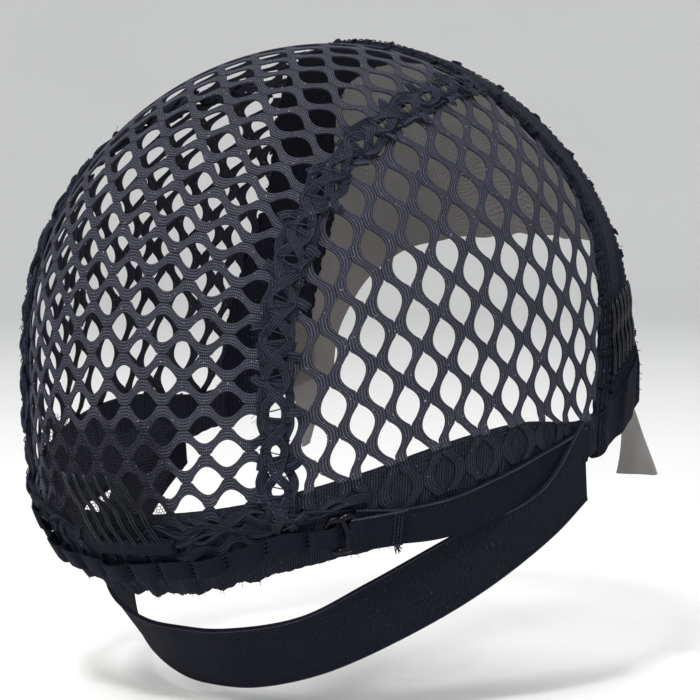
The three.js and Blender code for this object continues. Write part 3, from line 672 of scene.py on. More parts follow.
def smooth_finish(name, deep, pale, rough, shine, tint=(1, 1, 1, 1)):
    """Moulded plastic, coated wire or thread, with faint handling marks."""
    material, s, surface, _ = start_material(name, Specular_IOR_Level=shine, Specular_Tint=tint)
    slow = s.noise(s.place(), 220.0, 4.0)
    s.feed(surface, "Base Color", s.mix(slow, deep, pale))
    s.feed(surface, "Roughness", s.math("ADD", rough, s.math("MULTIPLY", slow, 0.08)))
    return material


# Cloth colours: deep, pale (which the painted highlights of the stitches also take) and lint
NAVY = [(0.0055, 0.0057, 0.0105, 1), (0.1, 0.102, 0.13, 1), (0.18, 0.18, 0.19, 1)]
# A darker copy of the net's navy: painted shade for the net ribbons that lie on the hem tape
SHADED_NAVY = [(0.0032, 0.0038, 0.0066, 1), (0.044, 0.05, 0.07, 1), (0.075, 0.078, 0.09, 1)]
DEEP_NAVY = [(0.004, 0.0046, 0.0085, 1), (0.043, 0.048, 0.072, 1), (0.10, 0.10, 0.12, 1)]
BLACK = [(0.003, 0.0034, 0.0058, 1), (0.034, 0.038, 0.056, 1), (0.05, 0.05, 0.06, 1)]
MATT_BLACK = [(0.0021, 0.0026, 0.005, 1), (0.0105, 0.0125, 0.023, 1), (0.026, 0.028, 0.038, 1)]
RIBBED_BLACK = [(0.0018, 0.0021, 0.0038, 1), (0.0175, 0.02, 0.032, 1), (0.032, 0.032, 0.04, 1)]
BAND_BLACK = [(0.0022, 0.0025, 0.0045, 1), (0.016, 0.0182, 0.03, 1), (0.05, 0.05, 0.055, 1)]
NET_EDGES = (0.0, NET["wales"] * NET["wale"])
net_knit = knit_finish("net_knit", NAVY, NET["wale"], 0.55, 0.5, 0.04, NET_EDGES)
seam_knit = knit_finish("seam_knit", DEEP_NAVY, 1.1, 0.4, 0.6, 0.04)
# Net knit in the darker copy, painted shade on the ribbon ends over the hem tape
hem_net_knit_shaded = knit_finish("hem_net_knit_shaded", SHADED_NAVY, NET["wale"], 0.55, 0.6, 0.03, NET_EDGES)
tape_knit = knit_finish("tape_knit", BLACK, 0.7, 0.55, 0.6, 0.02)
band_knit = knit_finish("band_knit", BAND_BLACK, 0.8, 0.7, 0.7, 0.02)
elastic_weave = woven_finish("elastic_weave", RIBBED_BLACK, 0.63, 0.9, 0.5, 0.012)
strap_weave = woven_finish("strap_weave", MATT_BLACK, 0.5, 0.55, 0.3, 0.012)
ribbon_weave = woven_finish("ribbon_weave", MATT_BLACK, 0.35, 0.4, 0.25, 0.012)
thread_finish = smooth_finish("sewing_thread", (0.005, 0.0055, 0.009, 1), (0.018, 0.02, 0.03, 1), 0.5, 0.15)
edge_thread = smooth_finish("edge_thread", (0.006, 0.0066, 0.01, 1), (0.05, 0.054, 0.068, 1), 0.5, 0.1)
lace_sheer = lace_finish("lace_sheer", (0.082, 0.07, 0.066), LACE["cell"], LACE["thread"], LACE["cover"])
tulle_thread = smooth_finish("tulle_thread", (0.005, 0.0055, 0.008, 1), (0.016, 0.017, 0.022, 1), 0.6, 0.05)
hook_plastic = smooth_finish("hook_plastic", (0.002, 0.002, 0.003, 1), (0.003, 0.003, 0.0045, 1), 0.08, 0.3,
                             tint=(0.3, 0.33, 0.4, 1))
comb_wire = smooth_finish("comb_wire", (0.001, 0.001, 0.0014, 1), (0.002, 0.002, 0.003, 1), 0.2, 0.3,
                          tint=(0.55, 0.62, 0.75, 1))


# Net panels

def warp(terms, i, j):
    linear = terms["at"] + terms["i"] * i + terms["j"] * j
    return linear + terms["ii"] * i * i + terms["ij"] * i * j + terms["jj"] * j * j


def ribbon_edges(lattice):
    """Flat lines of the lower and upper edges of the ribbons between rows of lens-shaped holes."""
    i = np.arange(*lattice["half_pitches"], NET["step"])[None]
    m = np.arange(*lattice["rows"])[:, None]

    def half_hole(row):
        from_middle = np.clip(((i - row + 1) % 2 - 1) / lattice["reach"], -1, 1)
        return lattice["hole"] * np.maximum(np.cos(0.5 * math.pi * from_middle), 0) ** NET["hole_power"]

    along = np.broadcast_to(i, (m.size, i.size))
    edges = m + half_hole(m), m + 1 - half_hole(m + 1)
    return [(warp(lattice["along"], along, j), warp(lattice["across"], along, j)) for j in edges]


def net_layer(p):
    """Distance out of the net: it lies on the form, and over the hem tape below its upper edge."""
    edge = hem_height(p[..., 1])
    over = smoothstep(above_hem(p), edge + NET["hem_ease"], edge - NET["hem_lap"])
    return blend(NET["out"], NET["hem_out"], over)


def net_panel(lattice, place, kept):
    """Ribbons of a panel, and their lower ends on the hem tape as a piece of their own."""
    open_net, on_hem = Piece(), Piece()
    low, high = [place(a, b, net_layer(place(a, b, NET["out"]))) for a, b in ribbon_edges(lattice)]
    lines, wide = (low + high) / 2, (low - high) / NET["width"]
    keep = kept(lines)
    over = above_hem(lines) < hem_height(lines[..., 1]) - NET["hem_lap"]
    section = ribbed_section(NET["width"], NET["wales"], NET["ridge"], NET["back"])
    for piece, part in ((open_net, keep & ~over), (on_hem, keep & over)):
        for line, across, inside in zip(lines, wide, part):
            for first, last in runs(inside):
                span = slice(max(first - 1, 0), last + 1)
                start = first * NET["stagger"]
                piece.sweep(line[span], across[span], outward(line[span]), section, start)
    return open_net, on_hem


def crown_place(a, b, out):
    x = (HALF_WIDTH + NET["fit"]) * np.sin(a / HALF_WIDTH)
    return crown_point(x, np.degrees(2 * b / (HALF_LENGTH + CROWN_RISE)), out)


def side_place(a, b, out):
    y = (HALF_LENGTH + NET["fit"]) * np.sin(np.clip(b / HALF_LENGTH, -1.5, 1.5))
    z = np.where(a > 0, (CROWN_RISE + NET["fit"]) * np.sin(np.clip(a / CROWN_RISE, 0, 1.5)), a)
    return side_point(y, z, out)


def behind_band(p, tuck):
    return p[..., 1] > band_rear(np.minimum(hoop_tilt(p), 114)) - tuck


def past_seam(p):
    """Distance of a point beyond the seam's middle line, towards the ear."""
    return np.abs(p[..., 0]) - seam_x(np.clip(back_tilt(p), *SEAM["tilt"]))


def crown_kept(p):
    in_panel = (past_seam(p) < -NET["under_seam"]) & behind_band(p, NET["under_band"])
    return in_panel & (above_hem(p) > NET["crown_low"]) & (back_tilt(p) > NET["crown_tilt"])


def side_kept(p):
    in_panel = (past_seam(p) > NET["under_seam"]) & behind_band(p, NET["under_band"])
    return in_panel & (above_hem(p) > blend(NET["side_low"], NET["crown_low"], smoothstep(p[..., 1], 55, 68)))


def make_nets():
    crown, crown_hem = net_panel(CROWN_LATTICE, crown_place, crown_kept)
    crown.finish("crown_netting", net_knit, "net", ["crown_net"])
    crown_hem.finish("crown_netting_on_hem", hem_net_knit_shaded, "net")
    net, net_hem = net_panel(SIDE_LATTICE, side_place, side_kept)
    for side, mirror in SIDES:
        net.finish(f"side_netting_{side}", net_knit, "net", [f"side_net_{side}"], mirror=mirror)
        net_hem.finish(f"side_netting_on_hem_{side}", hem_net_knit_shaded, "net", mirror=mirror)


# Seams between the panels

def seam_bed():
    """Lengths along the right seam, and a way to lay points on it by length, side and lift."""
    tilt = np.linspace(-44, 118, 1200)
    line = crown_point(-seam_x(tilt), tilt, SEAM["out"])
    edge = hem_height(line[:, 1])
    over = smoothstep(above_hem(line), edge + 4, edge - 1)
    line = line + outward(line) * (SEAM["over_hem"] * over)[:, None]
    line = line[(above_hem(line) > SEAM["low"]) & behind_band(line, -0.3)]
    lengths = np.arange(0, run_length(line)[-1], SEAM["step"])
    line = at_lengths(line, lengths)
    up = outward(line)
    _, across, _ = ribbon_frame(line, up)

    def lay(at, t, h):
        k = np.clip(at / SEAM["step"], 0, len(lengths) - 1.001)
        low, part = k.astype(int), (k % 1)[:, None]
        middle = blend(line[low], line[low + 1], part)
        return middle + across[low] * t[:, None] + up[low] * h[:, None], up[low]

    return lengths, lay


def add_seam_strands(piece, s, lay):
    """Ribbons that run along the seam and cross each other."""
    for middle, swing, phase, lift, lift_swing, width in SEAM_STRANDS:
        turn = 2 * math.pi * s / SEAM["wave"] + phase
        wander = 0.45 * np.sin(s * 0.37 + phase * 3) + 0.3 * np.sin(s * 0.83 + phase)
        h = lift + lift_swing * np.sin(turn * 2 + phase) + 0.2 * np.sin(s * 0.5 + phase)
        path, up = lay(s, middle + swing * np.sin(turn) + wander, h)
        _, across, out = ribbon_frame(path, up)
        across, out = rolled(across, out, 0.5 * np.cos(turn + phase))
        piece.sweep(path, across, out, ribbed_section(width, 4, 0.6, 0.4), phase * 7)


def add_seam_bundles(piece, s, lay):
    """Gathered net ribbons across the seam, row by row."""
    for k, at in enumerate(np.arange(BUNDLE["first"], s[-1] - 3, BUNDLE["pitch"])):
        half = BUNDLE["half"] + 0.5 * math.sin(k * 2.1)
        t = np.linspace(-half, half, 14)
        bow = 0.8 * math.sin(k * 1.3) * (t / half) ** 2 + 0.12 * t * math.cos(k * 2.7)
        path, up = lay(at + bow, t, BUNDLE["lift"] + 0.5 * (1 - (t / half) ** 2))
        _, across, out = ribbon_frame(path, up)
        piece.sweep(path, across, out, ribbed_section(BUNDLE["width"], 6, 0.5, 0.4), k * 9)


def add_seam_stubs(piece, fringe, s, lay):
    """Cut ribbon ends that stick out on both sides, with frayed tips."""
    f, g = np.linspace(0, 1, 9), np.linspace(0, 1, 4)[:, None]
    for k, at in enumerate(np.arange(STUB["first"], s[-1] - 2, STUB["pitch"])):
        hand = 1 if k % 2 else -1
        length = STUB["length"] * (0.75 + 0.5 * rng.random())
        lean = rng.uniform(-2.2, 2.2)
        h = 0.9 + 0.9 * np.sin(f * 2.4) * rng.uniform(0.4, 1.2)
        path, up = lay(at + lean * f**2, hand * (STUB["root"] + length * f), h)
        tangent, across, out = ribbon_frame(path, up)
        across, out = rolled(across, out, np.full(len(path), rng.uniform(-0.6, 0.6)))
        piece.sweep(path, across, out, ribbed_section(STUB["width"], 3, 0.4, 0.4), k * 5)
        for thread in range(5):
            shift = (thread / 4 - 0.5) * STUB["width"] * 0.85
            tip = path[-1] + across[-1] * shift - tangent[-1] * 0.5
            bend = across[-1] * rng.uniform(-0.25, 0.25) + out[-1] * rng.uniform(-0.1, 0.3)
            tail = tip + tangent[-1] * g * rng.uniform(0.7, 1.4) + bend * g**2
            fringe.wire(tail, THREAD["seam_fringe"], 5)


def add_seam_threads(fringe, s, lay):
    """Overlock thread to and fro over the strands, single threads across the eyelets, and loose ends."""
    at = np.arange(1.0, s[-1] - 1, 0.55)
    zig = np.abs((at / 4.4) % 1 * 2 - 1) * 2 - 1
    path, _ = lay(at, zig * (4.2 + 0.5 * np.sin(at * 0.9)), 2.5 - 1.3 * zig**2)
    fringe.wire(path, THREAD["overlock"], 4)
    g = np.linspace(-1, 1, 9)
    for at in np.arange(6.0, s[-1] - 6, BUNDLE["pitch"] / 2):
        swing = rng.uniform(-2.5, 2.5)
        t = swing + rng.uniform(-1, 1) * g + 0.5 * np.sin(g * 3)
        path, _ = lay(at + g * 3.4, t, 1.0 + 0.5 * (1 - g * g))
        fringe.wire(path, THREAD["eyelet"], 4)
    g = np.linspace(0, 1, 6)
    for _ in range(SEAM["loose_threads"]):
        at, hand = rng.uniform(1, s[-1] - 1), rng.choice([-1, 1])
        length = rng.uniform(1.2, 3.6)
        t = hand * (rng.uniform(2.5, 4.5) + length * g)
        at = np.clip(at + rng.uniform(-2, 2) * g**2, 0, s[-1])
        path, _ = lay(at, t, 1.2 + rng.uniform(-0.6, 1.6) * g)
        fringe.wire(path, THREAD["seam_loose"], 3)


def make_seam(side, mirror):
    strands, threads = Piece(), Piece()
    s, lay = seam_bed()
    add_seam_strands(strands, s, lay)
    add_seam_bundles(strands, s, lay)
    add_seam_stubs(strands, threads, s, lay)
    add_seam_threads(threads, s, lay)
    strands.finish(f"crown_seam_strands_{side}", seam_knit, "seam", [f"crown_seam_{side}"], mirror=mirror)
    threads.finish(f"crown_seam_threads_{side}", thread_finish, "seam", mirror=mirror)


# Hem tape, hook loops, straps, hooks and the neck elastic

def hem_surface(turn, v, out):
    """Hem tape: gathered and frilled at the back, slightly uneven along its lower edge."""
    span = np.clip(np.abs(turn) / RUFFLE["reach"], 0, 1)
    frill = (1 - span**6) * (1 - smoothstep(v, 0.0, 0.45))
    phase = (turn / RUFFLE["reach"] + 1) * math.pi * RUFFLE["waves"]
    wave = 0.5 + 0.5 * np.sin(phase + 0.8 * np.sin(phase * 0.37))
    gather = 0.22 * np.sin(turn * 2.1 + 3 * v) + 0.16 * np.sin(turn * 4.7 - 5 * v + 1)
    ragged = (0.6 * np.sin(turn * 0.9) + 0.3 * np.sin(turn * 2.9 + 1) + 0.15 * np.sin(turn * 6.1)) * (1 - v)
    top = hem_height(hem_point(turn, 15.0, 1.0)[..., 1])
    height = blend(hem_low(turn) + ragged * np.clip(1.3 - span, 0.25, 1), top, v)
    lift = RUFFLE["rise"] * wave * frill + gather * np.minimum(1, 3 * v * (1 - v) + 0.2)
    return hem_point(turn, height, out + lift)


def make_hem():
    tape, edge = Piece(), Piece()
    tape.wall(hem_surface, np.linspace(-HEM["half_turn"], HEM["half_turn"], 430), np.linspace(0, 1, 15),
              HEM["inner"], HEM["outer"], lambda u, v: np.stack([v * HEM["width"], turn_length(u)], -1))
    g = np.linspace(0, 1, 5)[:, None]
    for _ in range(HEM["frays"]):
        turn = rng.uniform(-70, 70)
        root = hem_surface(np.array(turn), np.array(0.02), HEM["outer"] - 0.5)
        down = np.array([rng.uniform(-0.5, 0.5), rng.uniform(-0.5, 0.5), -1])
        fall = unit(down) * g * rng.uniform(0.5, 1.5)
        edge.wire(root + fall + outward(root) * g**2 * rng.uniform(-0.2, 0.9), THREAD["hem_fray"], 3)
    g = np.linspace(0, 1, 4)[:, None]
    for turn in np.arange(-100, 100, 1.6):
        base = hem_surface(np.array(turn), np.array(0.93), HEM["outer"] + 0.1)
        tip = hem_surface(np.array(turn + 0.8), np.array(0.93), HEM["outer"] + 0.1)
        edge.wire(blend(base, tip, g) + outward(base) * 0.25 * np.sin(g * math.pi), THREAD["hem_stitch"], 4)
    tape.finish("hem_tape", tape_knit, "band", ["hem_band"], crease=CREASE)
    edge.finish("hem_fray_and_stitches", thread_finish, "band")


def make_gathers():
    """Net ribbons bunched in folds where the crown net is gathered into the back hem."""
    piece = Piece()
    f = np.linspace(-1, 1, 40)
    for k in range(GATHER["count"]):
        hand = 1 if k % 2 else -1
        middle, span = hand * rng.uniform(17, 47), rng.uniform(5, 11)
        ribbon_top = float(loop_low(np.array(abs(middle)))) + LOOP_TAPE["width"]
        swing = rng.uniform(1.0, 2.0) * np.sin(f * rng.uniform(3, 6) + rng.uniform(0, 6))
        height = np.maximum(rng.uniform(ribbon_top + 1.5, GATHER["high"]) + swing, ribbon_top + 0.6)
        out = HEM["outer"] + 0.5 + rng.uniform(0.2, 0.7) * (1 + np.sin(f * 4 + k)) - 0.8 * f**6
        line = hem_point(middle + span * f, height, out)
        _, across, up = ribbon_frame(line, outward(line))
        across, up = rolled(across, up, rng.uniform(-0.7, 0.7) + 0.5 * np.sin(f * 3 + k))
        piece.sweep(line, across, up, ribbed_section(GATHER["width"], 4, 0.4, 0.3), k * 4)
    piece.finish("hem_gathers", tape_knit, "net")


def loop_surface(u, v, out):
    """Ribbon that stands off in a loop between tacks; the end loops lie over a hook's free arm."""
    tacks = np.r_[[-turn for turn in LOOP_TACKS[::-1]], LOOP_TACKS]
    count = len(tacks) - 1
    cell = np.clip(u * count, 0, count)
    k = np.minimum(np.floor(cell), count - 1)
    f = cell - k
    turn = np.interp(cell, np.arange(count + 1), tacks)
    lean = LOOP_TAPE["lean"] * smoothstep(np.abs(turn), 46, 48.5) * (1 - v) * np.sign(turn)
    end = (k == 0) | (k == count - 1)
    rise = np.where(end, LOOP_TAPE["end_rise"], LOOP_TAPE["rise"] * (0.85 + 0.2 * np.sin(k * 2.3)))
    arch = rise * (1 - np.abs(2 * f - 1) ** 5)
    sag = 0.35 * np.sin(k * 1.7) * (1 - (2 * f - 1) ** 2)
    height = loop_low(np.abs(turn)) + sag + v * LOOP_TAPE["width"]
    return hem_point(turn + lean, height, out + arch)


def make_loops():
    piece, tacks = Piece(), Piece()
    count = 2 * len(LOOP_TACKS) - 1
    length = turn_length(LOOP_TACKS[-1]) * 2
    top = LOOP_TAPE["inner"] + LOOP_TAPE["ply"]
    piece.wall(loop_surface, np.linspace(0, 1, count * 16 + 1), np.linspace(0, 1, 5), LOOP_TAPE["inner"], top,
               lambda u, v: np.stack([u * length, v * LOOP_TAPE["width"]], -1))
    piece.finish("hook_loop_ribbon", ribbon_weave, "ribbon", ["loop_tape"], crease=CREASE)
    bow = 0.35 * np.sin(np.linspace(0, math.pi, 5))
    for k in range(count + 1):
        u = np.clip(k / count + np.linspace(-1, 1, 5) * 0.0045, 0, 1)
        for v in np.arange(0.14, 1, 0.24):
            tacks.wire(loop_surface(u, np.full(5, v), top + bow), THREAD["loop_tack"], 4)
    tacks.finish("hook_loop_tacks", thread_finish, "ribbon")


def strap_surface(turn, v, out, lift=0.0):
    """Strap with a raised cord along each edge; lift raises its upper edge near the hook."""
    high = strap_high(turn) + lift * (1 - smoothstep(turn, 52, STRAP["double_end"] + 1))
    rise = 0.22 * welt(v, 0.06, 0.05) + 0.12 * np.sin(turn * 0.5 + 4 * v)
    return hem_point(turn, blend(strap_low(turn), high, v), out + rise)


def strap_under(turn, v, out):
    return strap_surface(turn, v, out, STRAP["lift"])


def strap_fold(turn, v, out):
    """The turn of the strap round the bar of the hook's slot."""
    share = np.clip((turn - STRAP["fold"]) / (STRAP["start"] + 0.4 - STRAP["fold"]), 0, 1)
    narrow = blend(0.1, 0.01, share)
    return strap_surface(turn, blend(narrow, 1 - narrow, v), out * np.where(share < 0.08, 0.93, 1))


def strap_flat(turn, v):
    return np.stack([turn_length(turn), v * STRAP["width"]], -1)


def make_strap(side, mirror):
    webbing, bar, edges = Piece(), Piece(), Piece()
    inner, ply, fold, double_end = STRAP["inner"], STRAP["ply"], STRAP["fold"], STRAP["double_end"]
    webbing.wall(strap_under, np.linspace(fold + 1.2, STRAP["end"], 94), STRAP_ACROSS,
                 inner, inner + ply, strap_flat)
    webbing.wall(strap_surface, np.linspace(STRAP["start"], double_end, 24), STRAP_ACROSS,
                 inner + ply + 0.1, inner + 2 * ply + 0.1, strap_flat)
    webbing.wall(strap_fold, np.linspace(fold, STRAP["start"] + 0.4, 14), STRAP_ACROSS,
                 inner + 0.3, inner + 2 * ply + 0.35, strap_flat)
    webbing.finish(f"strap_webbing_{side}", strap_weave, "elastic", [f"strap_{side}"], mirror=mirror,
                   crease=CREASE)

    # Bar of stitches over the turned end, its loose tails, and stitches along the upper edge
    top = inner + 2 * ply + 0.25
    g = np.linspace(0, 1, 5)
    for turn in (double_end - 2.0, double_end - 1.4, double_end - 0.8):
        for v in np.arange(0.08, 0.92, 0.1):
            path = strap_surface(turn + 0.35 * g, v + 0.09 * g, top + 0.25 * np.sin(g * math.pi))
            bar.wire(path, THREAD["strap_bar"], 4)
    g = np.linspace(0, 1, 8)
    for k in range(7):
        turn = double_end - 1.6 + 0.16 * k + rng.uniform(-0.9, 1.2) * g**2
        drop = rng.uniform(0.12, 0.26)
        bar.wire(strap_surface(turn, 0.05 - drop * g, top + 0.5 * np.sin(g * 2.2)), THREAD["strap_tail"], 4)
    rows = [(fold + 1.4, double_end, ply, STRAP["lift"], THREAD["strap_edge"]),
            (fold + 0.3, double_end, 2 * ply, 0, THREAD["double_edge"]),
            (double_end, STRAP["end"] - 1, ply, 0, THREAD["strap_edge"])]
    g = np.linspace(0, 1, 4)
    for first, last, out, lift, size in rows:
        for turn in np.arange(first, last, 0.5):
            rise = inner + out + 0.12 + 0.15 * np.sin(g * math.pi)
            edges.wire(strap_surface(turn + 0.42 * g, 0.955 + 0.035 * g, rise, lift), size, 4)
    bar.finish(f"strap_bar_{side}", thread_finish, "elastic", mirror=mirror)
    edges.finish(f"strap_edge_stitches_{side}", edge_thread, "elastic", mirror=mirror)


def make_hook(side, mirror):
    """Moulded hook: round bars, with a slot for the strap and an open arm for the loops."""
    bars = Piece()
    r, x, y = HOOK["bar"], HOOK["width"] / 2 - HOOK["bar"], HOOK["height"] / 2 - HOOK["bar"]

    def bar(rows, radius):
        flat = even_curve([(a, b, 0) for a, b in rows], 40)
        ends = np.minimum(np.arange(40), np.arange(40)[::-1])
        size = radius * np.sqrt(np.clip(1 - (1 - np.minimum(ends, 3) / 3) ** 2, 0.12, 1))
        turn = HOOK["turn"] + np.degrees(flat[:, 0] / (HALF_WIDTH + 4))
        bars.wire(hem_point(turn, HOOK["level"] + flat[:, 1], HOOK["seat"] + HOOK["bar"]), size, 12)

    bar([(-x, 2.4 - y), (-x, 0), (-x + 0.1, y - 1.6), (-x + 0.9, y - 0.2), (-x + 2, y + 0.2), (-0.3, y - 0.3),
         (1.3, y + 0.25), (x - 1, y), (x, y - 1.4), (x, 0), (x, 1.4 - y), (x - 1.2, 0.1 - y), (0, -y),
         (1.4 - x, 0.1 - y)], r)
    middle = HOOK["middle"]
    bar([(middle - 0.6, y), (middle + 0.5, y - 2.4), (middle + 1.1, 0), (middle + 1.5, 2 - y),
         (middle + 2, -y)], r * 1.05)
    bars.finish(f"hook_moulding_{side}", hook_plastic, "hook", [f"strap_hook_{side}"], mirror=mirror)


def make_elastic():
    half = np.array(ELASTIC_ROWS)
    rows = np.concatenate([half, (half * (-1, 1, 1))[-2::-1]])
    steps, ply = ELASTIC["steps"], ELASTIC["ply"]
    upper, lower = even_curve(rows[:, 0], steps), even_curve(rows[:, 1], steps)
    middle = (upper + lower) / 2
    face = unit(np.cross(unit(np.gradient(middle, axis=0)), lower - upper))
    along = run_length(middle)

    def place(u, v, out):
        k = np.rint(u).astype(int)
        lift = out * (0.75 + 0.2 * welt(v, 0.02, 0.02))
        return blend(upper[k], lower[k], v[..., None]) + face[k] * lift[..., None]

    webbing, edge = Piece(), Piece()
    webbing.wall(place, np.arange(steps), ELASTIC_ACROSS, -ply / 2, ply / 2,
                 lambda u, v: np.stack([along[np.rint(u).astype(int)], v * ELASTIC["width"]], -1))
    webbing.finish("neck_elastic_webbing", elastic_weave, "elastic", ["neck_elastic"], crease=CREASE)
    for v in (0.012, 0.988):
        edge.wire(place(np.arange(steps), np.full(steps, v), ply / 2 + 0.12), THREAD["elastic_edge"], 4)
    edge.finish("neck_elastic_edges", edge_thread, "elastic")


# Front band and lace

def band_surface(u, v, out):
    """Band from ear tab to ear tab: knit with long soft folds, a rolled rear edge and a rough front edge."""
    tilt = (2 * u - 1) * blend(TAB_END["rear"], TAB_END["front"], v)
    turned = np.abs(tilt)
    low = smoothstep(turned, 55, 95)
    fold = 0.4 * np.sin(v * 11 + 1.5 * np.sin(tilt * 0.07)) + 0.2 * np.sin(v * 23 + tilt * 0.21)
    fold = np.maximum(fold * (0.35 + low), -0.4) * np.minimum(1, 6 * v * (1 - v))
    bulge = 2.2 * smoothstep(turned, 84, 95) * v
    rough = 0.5 * np.sin(tilt * 1.3) + 0.4 * np.sin(tilt * 3.1 + 1) + 0.25 * np.sin(tilt * 7.7)
    fuller = 2.6 * smoothstep(turned, 72, 88) + 3.4 * smoothstep(turned, 84, 95)
    narrow = 1.8 * smoothstep(turned, 12, 28) * (1 - smoothstep(turned, 62, 78))
    narrow = narrow - 2 * smoothstep(turned, 92, 104)
    y = band_rear(turned) - v * BAND["width"] + rough * (v - 0.5) * 0.9 - fuller * v - narrow * (1 - v)
    roll = np.sqrt(np.clip(1 - (1 - np.clip(v / 0.12, 0, 1)) ** 2, 0.1, 1))
    lift = BAND["inner"] + (out - BAND["inner"]) * roll
    return hoop_point(tilt, y, lift + bulge + fold)


def make_band():
    band, edge, tufts = Piece(), Piece(), Piece()
    band.wall(band_surface, np.linspace(0, 1, 300), np.linspace(0, 1, 34), BAND["inner"], BAND["outer"],
              lambda u, v: np.stack([(2 * u - 1) * BAND["half_length"], v * BAND["width"]], -1))
    band.finish("front_band_knit", band_knit, "band", ["front_band"], crease=CREASE)
    top = BAND["outer"] + 0.1
    g = np.linspace(0, 1, 4)
    for v in (0.05, 0.12, 0.9, 0.95):
        for u in np.arange(0.004, 0.996, 0.0075):
            path = band_surface(u + 0.0048 * g, np.full(4, v), top + 0.22 * np.sin(g * math.pi))
            edge.wire(path, THREAD["band_stitch"], 4)
    g = np.linspace(0, 1, 5)[:, None]
    for _ in range(BAND["frays"]):
        u, v = rng.uniform(0.0, 1.0), rng.choice([0.0, 1.0])
        root = band_surface(np.array(u), np.array(v), BAND["outer"] - 0.6)
        drift = np.array([0, 1.0 if v == 0 else -1.0, 0]) + rng.uniform(-0.6, 0.6, 3)
        tail = root + unit(drift) * g * rng.uniform(0.5, 1.6) + outward(root) * g * rng.uniform(0.0, 0.8)
        edge.wire(tail, THREAD["band_fray"], 3)
    edge.finish("front_band_stitches", thread_finish, "band")
    f = np.linspace(0, 1, 7)
    for k in range(BAND["tufts"]):
        u, v = 0.035 + 0.93 * (k + rng.random()) / BAND["tufts"], (0.0, 1.0, 0.0)[k % 3]
        past_edge = (-1 if v == 0 else 1) * rng.uniform(0.05, 0.16)
        along = u + rng.uniform(-0.006, 0.006) * f
        out = top + rng.uniform(0.1, 0.6) * np.sin(f * 2.2)
        line = band_surface(along, blend(v - past_edge * 0.8, v + past_edge * 0.2, f), out)
        _, across, up = ribbon_frame(line, outward(line))
        across, up = rolled(across, up, np.full(7, rng.uniform(-0.7, 0.7)))
        tufts.sweep(line, across, up, ribbed_section(rng.uniform(1.8, 2.8), 3, 0.4, 0.3), k * 3)
    tufts.finish("front_band_tufts", band_knit, "band")


def lace_surface(u, v):
    tilt = (2 * u - 1) * blend(CORNER_END["rear"], CORNER_END["front"], v)
    turned = np.abs(tilt)
    rear = band_rear(np.minimum(turned, 114.9)) - BAND["width"] + 3
    front = hairline(np.minimum(turned, 117.9))
    y = blend(blend(rear, front, 0.2 * smoothstep(turned, 100, 110)), front, v)
    flare = np.clip((turned - LACE["flare_start"]) / (CORNER_END["front"] - LACE["flare_start"]), 0, 1)
    corner = flare**1.25 * v
    ripple = 0.4 * np.sin(tilt * 0.5 + 6 * v) * corner + 0.1 * np.sin(tilt * 0.4)
    bend = 0.9 * np.clip((v - 0.82) / 0.18, 0, 1) ** 2 * smoothstep(turned, 98, 110)
    return hoop_point(tilt, y, LACE["out"] + LACE["flare"] * corner + ripple - bend)


def make_lace():
    piece = Piece()
    u, v = np.meshgrid(np.linspace(0, 1, 221), np.linspace(0, 1, 31), indexing="ij")
    corners = lace_surface(u, v)
    piece.grid(corners, np.stack([(2 * u - 1) * LACE["half_length"], v * LACE["depth"]], -1))
    lace = piece.finish("lace_closure_sheet", lace_sheer, "lace", ["lace_closure"])
    middle = lace_surface(np.linspace(0, 1, 200), np.full(200, 0.5))
    width = float(run_length(middle)[-1]) * MM


# Combs and the tulle behind the nape comb

def tooth_radii(f, comb):
    """Radii along a tooth, rounded off over its tip."""
    end = np.maximum(f - comb["tip"], 0) / (1 - comb["tip"])
    return comb["radius"] * np.sqrt(np.maximum(0.15, 1 - end**2))


def tooth_kink(f, comb):
    """Inward kink half way along a tooth, which holds the hair."""
    return comb["kink"] * np.exp(-((f - 0.5) / 0.12) ** 2)


def padded(v, inner, out):
    """Distance out of a comb's tape, thickest along its middle."""
    return inner + (out - inner) * np.sqrt(np.clip(1 - (2 * v - 1) ** 4, 0.05, 1))


def make_nape_comb():
    wires, tape = Piece(), Piece()
    comb, seat = NAPE_COMB, NAPE_COMB["seat"]
    low, high = comb["middle"] - comb["half"], comb["middle"] + comb["half"]
    f = np.linspace(0, 1, 22)
    size = tooth_radii(f, comb)
    for foot in np.linspace(low + comb["margin"], high - comb["margin"], comb["teeth"]):
        for gap in (-comb["gap"], comb["gap"]):
            turn = foot + gap * (1 - f**8) - comb["lean"] * f
            height = comb["high"] - comb["root"] + comb["length"] * f
            wires.wire(hem_point(turn, height, seat - 0.5 * f - tooth_kink(f, comb)), size, 8)
    turn = np.linspace(low + 0.6, high - 0.6, 40)
    for height in (comb["high"] - 1.0, comb["high"] - 2.4):
        wires.wire(hem_point(turn, np.full(40, height), seat - 1), COMB_RAIL, 8)
    wires.finish("nape_comb_wires", comb_wire, "comb", ["nape_comb"])

    def cover(turn, v, out):
        height = blend(comb["low"], comb["high"], v) + 0.2 * np.sin(turn * 1.1)
        return hem_point(turn, height, padded(v, comb["inner"], out))

    tape.wall(cover, np.linspace(low, high, 60), np.linspace(0, 1, 9), comb["inner"], comb["outer"],
              lambda u, v: np.stack([turn_length(u), v * (comb["high"] - comb["low"])], -1))
    tape.finish("nape_comb_tape", ribbon_weave, "comb")


